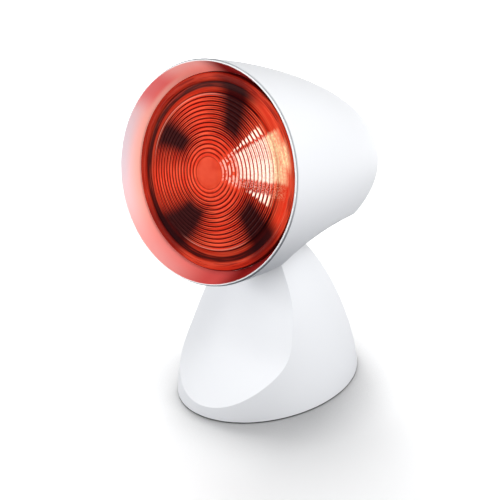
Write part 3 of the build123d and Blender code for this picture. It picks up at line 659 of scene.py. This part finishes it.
def bulletProfile(inset, front, roundOff):
    radius, length = shell["radius"] - inset, shell["length"] - inset
    nose, flank = shell["curve"]
    steps = shell["profileSteps"]
    points = []
    for i in range(steps + 1):
        angle = pi / 2 * i / steps
        points.append((radius * max(cos(angle), 0.0) ** (2 / flank), length * sin(angle) ** (2 / nose)))
    points[-1] = (0.0, length)
    points = [p for p in points if p[1] > front + max(roundOff, 0.3 * mm)]
    edge = [(radius, front)]
    if roundOff:
        edge = arc((radius - roundOff, front + roundOff), roundOff, -pi / 2, pi / 2, shell["mouthSteps"])
    return [(0.0, front)] + edge + points


def scoopCutters(grow):
    # only the part of a large round bar that meets the head, closed by a flat well outside it
    radius, length = shell["scoopRadius"] + grow, shell["length"]
    yaw, dip = radians(shell["scoopYaw"]), radians(shell["scoopDip"])
    half, steps = radians(shell["scoopArc"]), shell["scoopSegments"]
    for side in (-1, 1):
        direction = Vector((-side * sin(yaw) * cos(dip), cos(yaw) * cos(dip), -sin(dip)))
        centre = Vector((side * shell["scoopX"], head["hingeBehindMouth"], -shell["scoopBelow"]))
        turn = direction.to_track_quat("Z", "Y").to_matrix().to_4x4()
        place = Matrix.Translation(centre) @ turn
        towards = atan2(-centre.z, -centre.x)
        middle = place.to_quaternion().inverted() @ Vector((cos(towards), 0, sin(towards)))
        start = atan2(middle.y, middle.x)
        angles = [start + half * (2 * i / steps - 1) for i in range(steps + 1)]
        points = [place @ Vector((radius * cos(a), radius * sin(a), -length)) for a in angles]
        yield outlineCutter("scoop", points, place.to_quaternion() @ Vector((0, 0, 2 * length)))


def slotCutter():
    # square front with rounded corners, round back
    half, front, back = shell["slotHalfWidth"], shell["slotFront"], shell["slotBack"]
    corner = shell["slotRound"]
    outline = arc((half - corner, front + corner), corner, 0, -pi / 2, shell["cornerSteps"])
    outline += [(-x, y) for x, y in reversed(outline)]
    outline.append((-half, back - half))
    outline += arc((0, back - half), half, pi, -pi, shell["slotSteps"])[1:-1]
    outline.append((half, back - half))
    return outlineCutter("slot", [(x, y, 0) for x, y in outline], (0, 0, -shell["slotDepth"]))


def ventCutter():
    bm = bmesh.new()
    half, steps = shell["ventWidth"] / 2, shell["ventEndSteps"]
    start, end = shell["ventFrom"] + half, shell["ventTo"] - half
    outline = arc((end, 0), half, -pi / 2, pi, steps) + arc((start, 0), half, pi / 2, pi, steps)
    for i in range(shell["ventCount"]):
        turn = Matrix.Rotation(2 * pi * i / shell["ventCount"], 4, "Y")
        points = [turn @ Vector((x, shell["ventStart"], z)) for x, z in outline]
        extrudeOutline(bm, points, (0, shell["ventDepth"], 0))
    return newPiece("vents", bm)


def headFinish():
    material, tree, shader, plain = mouldedFinish("head_plastic", finishes["white_plastic"])
    polar = useGroup(tree, polarGroup)
    # painted shade: darkens the mouth's edge just behind the lip, less so in one sector
    weak = sectorMask(tree, polar.outputs["Angle"], *mouthShadeLine["weakSector"])
    line = softStep(tree, polar.outputs["Back"], mouthShadeLine["from"], mouthShadeLine["to"], mouthShadeLine["strength"], 0.0)
    line = times(tree, line, scaleAdd(tree, weak, -mouthShadeLine["weaker"], 1.0))
    fill(tree, shader, {"Base Color": mixColours(tree, line, plain, mouthShadeLine["colour"])})
    return material


def makeHead():
    bm = spinProfile(bulletProfile(0.0, shell["mouthBack"], shell["mouthRound"]), shell["segments"])
    piece = newPiece("headSkin", bm, headFinish())
    bm = spinProfile(bulletProfile(shell["wall"], -mm, 0.0), shell["insideSegments"])
    inside = newPiece("headInside", bm)
    for cutter in scoopCutters(0.0):
        cut(piece, cutter)
    for cutter in scoopCutters(shell["wall"]):
        cut(inside, cutter)
    # lugs for the hinge pin and posts for the holder's bracket stay solid
    r, y, z = shell["lugRadius"], head["hingeBehindMouth"], -head["hingeBelowAxis"]
    level = Matrix.Translation((0, y, z)) @ Matrix.Rotation(pi / 2, 4, "Y")
    down = -shell["lugDown"]
    for side in (-1, 1):
        # they start a little inside the slot, which then cuts them level with its sides
        near = side * (shell["slotHalfWidth"] - shell["lugStart"])
        thick = side * (shell["lugWall"] + shell["lugStart"])
        arch = [(near, *point) for point in arc((y, z), r, 0, pi, shell["lugSteps"])]
        cut(inside, outlineCutter("lug", arch + [(near, y - r, down), (near, y + r, down)], (thick, 0, 0)))
    for i in range(3):
        a = radians(90 + 120 * i)
        foot = Matrix.Translation((shell["postPitch"] * cos(a), 0, shell["postPitch"] * sin(a))) @ backwards
        cut(inside, rodCutter("post", shell["postRadius"], shell["postFront"], shell["postBack"], foot, 32))
    cut(piece, inside)
    cut(piece, rodCutter("mouth", shell["mouthInner"], -5 * mm, shell["mouthRebate"], backwards,
                         shell["segments"]))
    cut(piece, slotCutter())
    cut(piece, ventCutter())
    cut(piece, rodCutter("pinHole", shell["pinRadius"], -shell["pinHalf"], shell["pinHalf"], level, 48))
    piece.data.transform(headPlace)
    finishMesh(piece)
    return piece


headSkin = makeHead()
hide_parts("head_shell")
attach(headSkin, "head")
print("head shell:", len(headSkin.data.polygons), "faces")


# front ring: bright lip and the funnel down to the bulb
ring = {
    "lipRadius": 68.3 * mm,
    "lipInner": 67.3 * mm,
    "lipFront": -0.6 * mm,
    "lipRound": 0.45 * mm,
    "tubeRadius": 67.4 * mm,
    "tubeBack": 3.4 * mm,
    "throat": 61.2 * mm,
    "back": 14.0 * mm,
    "wall": 1.4 * mm,
    "segments": 192,
}
# painted light: the funnel's white plastic is painted with the bulb's red light and glows with it, palest
# far left, deepest towards the glass and low down; sectors are middle, half width and soft edge in degrees
ringLook = {
    "lip": {"colour": (0.94, 0.945, 0.95), "roughness": 0.34, "specular": 0.2, "grain": 1400.0,
            "drift": 0.01, "glossDrift": 0.05, "bump": 0.03},
    "funnelFrom": (67.6 * mm, 67.45 * mm),
    "deepens": (67.0 * mm, 62.2 * mm),
    # plain colour, colour on the far left and that side's sector
    "edge": ((0.96, 0.44, 0.4), (0.7, 0.6, 0.64), (180, 30, 26)),
    "inner": ((1.0, 0.28, 0.23), (1.0, 0.45, 0.36), (175, 42, 38)),
    # painted shade: sector, amount and colour, and where it starts, if not everywhere
    "shades": [
        ((139, 12, 8), 0.68, (0.74, 0.06, 0.07), (62.5 * mm, 64.0 * mm)),
        ((-116, 20, 18), 0.45, (0.5, 0.12, 0.13)),
        ((-74, 27, 20), 1.0, (0.46, 0.06, 0.055)),
        ((15, 84, 9), 1.0, (0.16, 0.006, 0.006)),
    ],
    # shadow line where the lip meets the shell
    "seam": (0.2, 0.22, 0.26),
    "seamShadowDepth": (0.0, 0.25 * mm),
    "seamShadowFrom": (67.6 * mm, 67.8 * mm),
    "seamShadowAmount": 0.6,
    "glow": 0.48,
}


def ringProfile():
    edge, throat, back = ring["lipRound"], ring["throat"], ring["back"]
    front = ring["lipFront"] + edge
    points = [(throat + 0.2 * mm, back), (throat, back - 0.3 * mm)]
    points += [(ring["lipInner"] - 0.08 * mm, front + 0.25 * mm)]
    points += arc((ring["lipInner"] + edge, front), edge, pi, pi / 2, 4)
    points += arc((ring["lipRadius"] - edge, front), edge, 1.5 * pi, pi / 2, 4)
    points += [(ring["lipRadius"], 0.1 * mm), (ring["lipRadius"] - 0.4 * mm, 0.55 * mm)]
    points += [(ring["tubeRadius"], 0.6 * mm), (ring["tubeRadius"], ring["tubeBack"])]
    points += [(throat + ring["wall"], back)]
    return points + [points[0]]


def ringFinish():
    look = ringLook
    material, tree, shader, lip = mouldedFinish("ring_plastic", look["lip"])
    polar = useGroup(tree, polarGroup)
    radius, angle, back = (polar.outputs[label] for label in ("Radius", "Angle", "Back"))

    def paintedBulbRed(name):
        plain, left, sector = look[name]
        return mixColours(tree, sectorMask(tree, angle, *sector), plain, left)

    # painted light: the bulb's red on the funnel, deeper towards the glass
    funnelPaintedLight = mixColours(tree, softStep(tree, radius, *look["deepens"]), paintedBulbRed("edge"), paintedBulbRed("inner"))
    # painted shade: darker sectors of the funnel
    for sector, amount, shade, *starts in look["shades"]:
        starts = [softStep(tree, radius, *ends) for ends in starts]
        mask = times(tree, sectorMask(tree, angle, *sector), *starts, amount)
        funnelPaintedLight = mixColours(tree, mask, funnelPaintedLight, shade)
    # painted shadow line where the lip meets the shell
    seam = times(tree, softStep(tree, back, *look["seamShadowDepth"]), softStep(tree, radius, *look["seamShadowFrom"]),
                 look["seamShadowAmount"])
    white = mixColours(tree, seam, lip, look["seam"])
    isFunnel = softStep(tree, radius, *look["funnelFrom"])
    # the funnel glows with its painted red light, though it is no lamp
    fill(tree, shader, {
        "Base Color": mixColours(tree, isFunnel, white, funnelPaintedLight), "Emission Strength": look["glow"],
        "Emission Color": mixColours(tree, isFunnel, (0, 0, 0), funnelPaintedLight)})
    return material


materials["ring_plastic"] = ringFinish()
bm = spinProfile(ringProfile(), ring["segments"])
bmesh.ops.transform(bm, matrix=headPlace, verts=bm.verts[:])
frontRing = newPiece("frontRing", bm, materials["ring_plastic"])
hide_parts("front_ring")
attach(frontRing, "head")
print("front ring:", len(frontRing.data.polygons), "faces")


# the bulb's front glass: prism rings round a plain middle
lens = {
    "pole": 3.6 * mm,
    "rise": 4.9 * mm,
    "ribbed": 48.5 * mm,
    "plain": 9.8 * mm,
    "ribs": 15,
    "ribDepth": 0.45 * mm,
    "stepsPerRib": 7,
    "thickness": 3.0 * mm,
    "radius": 61.0 * mm,
    "rimInner": 55.5 * mm,
    "groove": 1.8 * mm,
    "rimFront": 9.6 * mm,
    "rimBack": 14.5 * mm,
    "segments": 192,
    "bowSteps": 6,
    "ribShape": 0.8,
    "smoothAngle": 40.0,
}
# painted light and shade on the glass and seen through it: sectors are middle, half width and soft edge
# in degrees, bands are inner and outer radius and soft edge in mm, and areas have one of each
glassLook = {
    "red": (0.95, 0.095, 0.04),
    "deepRed": (0.8, 0.04, 0.014),
    "dark": (0.045, 0.001, 0.002),
    "brown": (0.018, 0.003, 0.004),
    # painted shade: the rings' dark lines, paler beside the wedge
    "ribbedBand": (9.8, 50.5, 0.5),
    "beside": ((19, 36, 4), (8, 53, 3)),
    # painted reflection: dark lobes where the mirror reflects dark surroundings; middle angle at 25 mm out,
    # its twist per mm, half width and soft edge, from and to radius
    "lobeMiddle": 25,
    "lobes": [
        (-108, -0.55, 17, 8, 23, 60),
        (-25, -0.44, 13, 7, 31, 60),
        (65, 0.6, 13, 8, 28, 60),
        (150, 0.5, 13, 8, 23, 48),
    ],
    # painted highlight and shade round the rim: a bright thin glint ring, painted shade in the groove,
    # on the ledge and in lines along the red edge
    "wedgeSide": (18, 48, 14),
    "glint": (0.85, 0.3, 0.22),
    "glintBand": (47.2, 48.0, 0.5),
    "glintSectors": [(-80, 28, 8), (135, 42, 10)],
    "ledgeBand": (48.7, 51.4, 0.4),
    "grooveBand": (51.5, 55.7, 0.6),
    "rim": (0.22, 0.01, 0.006),
    "rimBand": (55.6, 61.5, 0.5),
    "rimSectors": [(150, 42, 16), (-132, 20, 12)],
    "rimLine": (0.16, 0.004, 0.003),
    "rimLineBand": (56.2, 61.5, 0.4),
    # painted reflections: a wedge of pale reflections, with a broken tip, stippled foot and beads of light
    # beside it, and dark breaks in it along the ring lines
    "pale": (1.0, 0.84, 0.7),
    "amber": (1.0, 0.74, 0.42),
    "wedge": ((22.5, 18.0, 1.6), (22.0, 57.0, 2.0)),
    "corner": (22.5, 9.0, 5),
    "closer": ((33, 9, 5), (30, 45, 3)),
    "tip": ((19, 29, 4), (11.0, 24.0, 1.5)),
    "stipple": ((-1, 5, 2), (16.0, 52.0, 4)),
    "reflectionBreak": (0.16, 0.02, 0.012),
    "reflectionBreaks": ((19, 27, 4), (11, 46, 3)),
    # rows of beads: middle angle, how much their half width grows, soft edge, from and to radius
    "beadRows": [(-9.0, 3.8, 1.4, 30, 46), (46.5, 3.0, 1.2, 21, 46)],
    "glow": 0.45,
    "dimGlow": 0.23,
    "roughness": 0.2,
    "specular": 0.02,
    "specularTint": (1.0, 0.45, 0.4, 1),
}


def lensFront(r):
    return lens["pole"] + lens["rise"] * (r / lens["ribbed"]) ** 2


def lensProfile():
    plain, ribbed, rimInner, rimFront = (lens[key] for key in ("plain", "ribbed", "rimInner", "rimFront"))
    points = [(0.0, lens["pole"])]
    points += [(r, lensFront(r)) for r in (plain * k / lens["bowSteps"] for k in range(1, lens["bowSteps"]))]
    pitch = (ribbed - plain) / lens["ribs"]
    count = lens["stepsPerRib"]
    for i in range(lens["ribs"]):
        for k in range(count):
            share = k / count
            r = plain + pitch * (i + share)
            points.append((r, lensFront(r) + lens["ribDepth"] * (1 - sin(pi * share) ** lens["ribShape"])))
    # groove between the rings and the rim
    edge, groove = lensFront(ribbed), lens["groove"]
    points += [(ribbed, edge + 0.3 * mm), (ribbed + 0.5 * mm, edge + groove * 0.7)]
    points += [(ribbed + 1.2 * mm, edge + groove), (rimInner - 0.6 * mm, edge + groove + 0.4 * mm)]
    points += [(rimInner + 0.3 * mm, rimFront + 0.3 * mm), (rimInner + 1.2 * mm, rimFront)]
    points += [(lens["radius"] - 2.2 * mm, rimFront + 0.15 * mm)]
    points += arc((lens["radius"] - 1.5 * mm, rimFront + 1.8 * mm), 1.5 * mm, 1.5 * pi, pi / 2, 5)
    points += [(lens["radius"], lens["rimBack"]), (rimInner, lens["rimBack"])]
    # and back to the middle behind it
    thick = lens["thickness"] + lens["ribDepth"]
    points += [(r, lensFront(r) + thick) for r in (48.5 * mm, 36 * mm, 24 * mm, 12 * mm)]
    return points + [(0.0, lens["pole"] + thick)]


def lensFinish():
    look = glassLook
    material, tree, shader = newMaterial("red_glass")
    polar = useGroup(tree, polarGroup)
    radius, angle, streak = (polar.outputs[label] for label in ("Radius", "Angle", "Streak"))
    place = objectPlace(tree)

    def sector(middle, half, soft, given=angle):
        return sectorMask(tree, given, middle, half, soft)

    def outwards(low, high, *ends):
        return softStep(tree, radius, low * mm, high * mm, *ends)

    def band(low, high, soft):
        return times(tree, outwards(low - soft, low + soft), outwards(high - soft, high + soft, 1.0, 0.0))

    def area(name, given=angle):
        inSector, inBand = look[name]
        return times(tree, sector(*inSector, given), band(*inBand))

    def grain(vector, low, high, *settings):
        return softStep(tree, noiseNode(tree, vector, *settings), low, high)

    def fromMiddle(counter):
        return mathNode(tree, "ABSOLUTE", minus(tree, mathNode(tree, "FRACT", counter), 0.5))

    # colours over each other, each with its masks
    dark, brown, layers = look["dark"], look["brown"], []

    # painted shade: thin dark lines between the prism rings, doubled round the dark lobes
    pitch = (lens["ribbed"] - lens["plain"]) / lens["ribs"]
    turns = mathNode(tree, "DIVIDE", minus(tree, radius, lens["plain"]), pitch)
    wobble = scaleAdd(tree, noiseNode(tree, place, 55.0, 2.0), 0.1, minus(tree, turns, 0.05))
    away = fromMiddle(wobble)
    fine = softStep(tree, fromMiddle(times(tree, wobble, 2.0)), 0.1, 0.34)
    even, streaked = noiseNode(tree, place, 70.0, 2.0), noiseNode(tree, streak, 0.5, 2.0)
    tone = mixColours(tree, outwards(9, 12), even, streaked)
    colour = mixColours(tree, softStep(tree, tone, 0.35, 0.66), look["deepRed"], look["red"])
    weaker = scaleAdd(tree, area("beside"), -0.6, 0.92)
    layers += [(dark, outwards(9.2, 10.2, 0.16, 0.0)),
               (dark, softStep(tree, away, 0.24, 0.4), band(*look["ribbedBand"]), weaker,
                outwards(9, 22, 0.75))]
    # painted reflection: the mirror's dark lobes, with the ring lines doubled round them
    busy, lobes = [], []
    for middle, twist, half, soft, low, high in look["lobes"]:
        turned = scaleAdd(tree, minus(tree, radius, look["lobeMiddle"] * mm), radians(-twist) / mm, angle)
        busy.append(times(tree, sector(middle, half + 15, 12, turned), band(low - 5, 50, 3)))
        lobes.append(times(tree, sector(middle, half, soft, turned), band(low, high, 4)))
    layers += [(dark, largest(tree, *busy), fine, 0.9), (brown, largest(tree, *lobes), 0.96)]

    # the rim's painted glint and shade, plainer on the wedge's side
    openSide = minus(tree, 1.0, sector(*look["wedgeSide"]))
    glint = largest(tree, *[sector(*given) for given in look["glintSectors"]])
    grooveShadeGrain = scaleAdd(tree, grain(streak, 0.3, 0.55, 0.9, 1.0), 0.25, 0.75)
    duller = scaleAdd(tree, largest(tree, *[sector(*given) for given in look["rimSectors"]]), 0.25, 0.5)
    duller = times(tree, duller, scaleAdd(tree, openSide, 0.75, 0.25))
    layers += [(look["glint"], band(*look["glintBand"]), glint, 0.6),
               (brown, band(*look["grooveBand"]), openSide, grooveShadeGrain, 0.95),
               (look["rim"], band(*look["rimBand"]), duller),
               (dark, band(*look["ledgeBand"]), openSide, 0.4),
               (look["rimLine"], grain(streak, 0.5, 0.62, 1.6, 1.0), band(*look["rimLineBand"]), 0.6),
               (dark, outwards(60.1, 60.7), 0.85)]

    # the painted reflection's wedge is whole outside and broken by the ring lines further in
    frayed = scaleAdd(tree, noiseNode(tree, streak, 1.3, 3.0, 0.7), 0.16, minus(tree, angle, 0.08))
    solid, reach = outwards(42, 49), outwards(26, 44)
    corner = largest(tree, minus(tree, 1.0, outwards(50, 57)), sector(*look["corner"], frayed))
    thin = softStep(tree, away, scaleAdd(tree, reach, 0.1, 0.26), scaleAdd(tree, reach, 0.06, 0.38))
    thin = times(tree, thin, scaleAdd(tree, solid, -0.75, 1.0))
    closer = times(tree, fine, area("closer"), 0.6)
    spark = scaleAdd(tree, grain(place, 0.34, 0.6, 900.0, 2.0), 0.25, 0.75)
    flow = largest(tree, grain(streak, 0.32, 0.55, 2.4, 3.0, 0.7), scaleAdd(tree, solid, -0.45, 1.0))
    wedge = times(tree, area("wedge", frayed), corner, minus(tree, 1.0, largest(tree, thin, closer)), spark,
                  outwards(20, 36, 0.8), flow)
    tip = times(tree, area("tip", frayed), softStep(tree, away, 0.3, 0.2),
                grain(place, 0.42, 0.52, 420.0, 1.0), 0.5)
    stippled = times(tree, area("stipple"), grain(place, 0.46, 0.62, 1500.0, 2.0), 0.38)
    beads = []
    for middle, half, soft, low, high in look["beadRows"]:
        # beads grow outwards
        grown = scaleAdd(tree, outwards(low - 4, high), radians(half), radians(0.5))
        row = useGroup(tree, sectorGroup, Angle=frayed, Middle=radians(middle), Half=grown,
                       Soft=radians(soft))
        beads.append(times(tree, row.outputs["Mask"], band(low, high, 2)))
    beads = times(tree, largest(tree, *beads), softStep(tree, away, 0.34, 0.2))
    pale = largest(tree, wedge, tip, stippled, beads)
    # painted reflections, then dark breaks in them along the ring lines
    layers += [(mixColours(tree, solid, look["pale"], look["amber"]), pale),
               (look["reflectionBreak"], softStep(tree, away, 0.38, 0.46), area("reflectionBreaks"), 0.5)]

    for over, *masks in layers:
        colour = mixColours(tree, times(tree, *masks), colour, over)
    # the glass glows dimly in its painted colours, and fully where the reflections are painted
    lit = scaleAdd(tree, pale, 1 - look["dimGlow"], look["dimGlow"])
    fill(tree, shader, {
        "Base Color": colour, "Emission Color": mixColours(tree, lit, (0, 0, 0), colour),
        "Emission Strength": look["glow"], "Roughness": look["roughness"],
        "Specular IOR Level": look["specular"], "Specular Tint": look["specularTint"]})
    return material


materials["red_glass"] = lensFinish()
bm = spinProfile(lensProfile(), lens["segments"])
bmesh.ops.transform(bm, matrix=headPlace, verts=bm.verts[:])
bulbGlass = newPiece("bulbGlass", bm, materials["red_glass"], lens["smoothAngle"])
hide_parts("bulb_lens")
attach(bulbGlass, "head")
print("bulb glass:", len(bulbGlass.data.polygons), "faces")


# finishes of the parts that keep their own mesh
slotOf = {part["node"]: part["material_slot"] for part in frame["record"]["subparts"]}
for name, part in frame["nodes"].items():
    part.data.materials.clear()
    part.data.materials.append(materials[slotOf[name]])
print("finishes:", len(materials))


# floor, lights and camera
studio = {
    "floorRadius": 6,
    "floorSides": 96,
    "floorSeen": (0.9, 0.9, 0.9),
    "floorBounce": (0.055, 0.063, 0.085),
    "floorRoughness": 0.9,
    "contactSamples": 8,
    "contactReach": 0.045,
    "contactShadowDepth": 0.75,
    "whiteFrom": 0.3,
    "whiteFull": 0.75,
    "ambient": (0.02, 0.022, 0.027),
    # softboxes that light the lamp alone
    "lights": {
        "rightAbove": {"at": (1.24, 0.3, 0.9), "size": 1.0, "power": 14.6},
        "frontRight": {"at": (1.05, -0.55, 1.04), "size": 1.1, "power": 13.6},
        "leftLow": {"at": (-1.0, -1.32, 0.4), "size": 0.9, "power": 23.8},
        "farRight": {"at": (0.2, 1.6, 0.7), "size": 1.0, "power": 1.2},
        # fills the far side without a sheen along the top edge
        "backLeft": {"at": (-0.95, 1.15, 0.24), "size": 1.1, "power": 9.5, "sheen": False},
    },
    # and those that light the floor alone, for its soft shadow
    "floorLights": {
        "above": {"at": (0, 0, 1.6), "size": 1.6, "power": 28.5},
        "behindAbove": {"at": (-0.75, 0.95, 1.2), "size": 1.2, "power": 19.5},
        "behindLeft": {"at": (-1.3, 0.5, 0.8), "size": 1.0, "power": 13.0},
    },
    "aim": (0, -0.02, 0.1),
    "target": (-1.88 * mm, -26.28 * mm, 98.85 * mm),
    "azimuth": 38.45,
    "elevation": 24.07,
    "distance": 0.9,
    "lens": 100.02,
}


def seenDirectly(tree):
    seen = tree.nodes.new("ShaderNodeLightPath")
    direct = mathNode(tree, "ADD", seen.outputs["Is Camera Ray"], seen.outputs["Is Glossy Ray"])
    return mathNode(tree, "ADD", direct, seen.outputs["Is Transmission Ray"], clamp=True)


def makeFloor():
    bm = bmesh.new()
    bmesh.ops.create_circle(bm, cap_ends=True, segments=studio["floorSides"], radius=studio["floorRadius"])
    material, tree, shader = newMaterial("floor")
    direct = seenDirectly(tree)
    # painted shadow: ambient occlusion darkens the floor's seen colour close to the lamp
    contact = tree.nodes.new("ShaderNodeAmbientOcclusion")
    contact.samples = studio["contactSamples"]
    fill(tree, contact, {"Distance": studio["contactReach"]})
    dark = times(tree, minus(tree, 1.0, contact.outputs["AO"]), studio["contactShadowDepth"])
    seen = mixColours(tree, dark, studio["floorSeen"], (0, 0, 0))
    # runs out to white away from the lamp
    far = tree.nodes.new("ShaderNodeVectorMath")
    far.operation = "LENGTH"
    fill(tree, far, {0: objectPlace(tree)})
    white = softStep(tree, far.outputs["Value"], studio["whiteFrom"], studio["whiteFull"])
    fill(tree, shader, {
        "Base Color": mixColours(tree, direct, studio["floorBounce"], seen),
        "Roughness": studio["floorRoughness"], "Specular IOR Level": 0.0,
        "Emission Color": (1, 1, 1, 1), "Emission Strength": times(tree, direct, white)})
    floor = newPiece("floor", bm, material)
    return floor


def makeWorld():
    world = bpy.data.worlds.new("studio")
    bpy.context.scene.world = world
    world.use_nodes = True
    tree = world.node_tree
    ambient = tree.nodes["Background"]
    white = tree.nodes.new("ShaderNodeBackground")
    mix = tree.nodes.new("ShaderNodeMixShader")
    fill(tree, ambient, {"Color": studio["ambient"] + (1,)})
    fill(tree, white, {"Color": (1, 1, 1, 1)})
    fill(tree, mix, {0: seenDirectly(tree), 1: ambient.outputs[0], 2: white.outputs[0]})
    fill(tree, tree.nodes["World Output"], {"Surface": mix.outputs[0]})


def makeLights(floor):
    onlyFloor, allButFloor = (bpy.data.collections.new(name) for name in ("onlyFloor", "allButFloor"))
    for group in (onlyFloor, allButFloor):
        group.objects.link(floor)
    allButFloor.collection_objects[0].light_linking.link_state = "EXCLUDE"
    for group, lights in ((allButFloor, studio["lights"]), (onlyFloor, studio["floorLights"])):
        for name, settings in lights.items():
            light = bpy.data.lights.new(name, "AREA")
            light.shape = "SQUARE"
            light.size = settings["size"]
            light.energy = settings["power"]
            holder = bpy.data.objects.new(name, light)
            holder.location = settings["at"]
            aim = Vector(studio["aim"]) - Vector(settings["at"])
            holder.rotation_euler = aim.to_track_quat("-Z", "Y").to_euler()
            holder.light_linking.receiver_collection = group
            holder.visible_glossy = settings.get("sheen", True)
            bpy.context.scene.collection.objects.link(holder)


def makeCamera():
    azimuth, elevation = radians(studio["azimuth"]), radians(studio["elevation"])
    away = Vector((sin(azimuth) * cos(elevation), -cos(azimuth) * cos(elevation), sin(elevation)))
    data = bpy.data.cameras.new("camera")
    data.lens = studio["lens"]
    data.sensor_width = 36
    camera = bpy.data.objects.new("camera", data)
    camera.location = Vector(studio["target"]) + away * studio["distance"]
    camera.rotation_euler = away.to_track_quat("Z", "Y").to_euler()
    bpy.context.scene.collection.objects.link(camera)
    bpy.context.scene.camera = camera


makeWorld()
makeLights(makeFloor())
makeCamera()
bpy.context.scene.view_settings.view_transform = "Standard"
print("stage set")
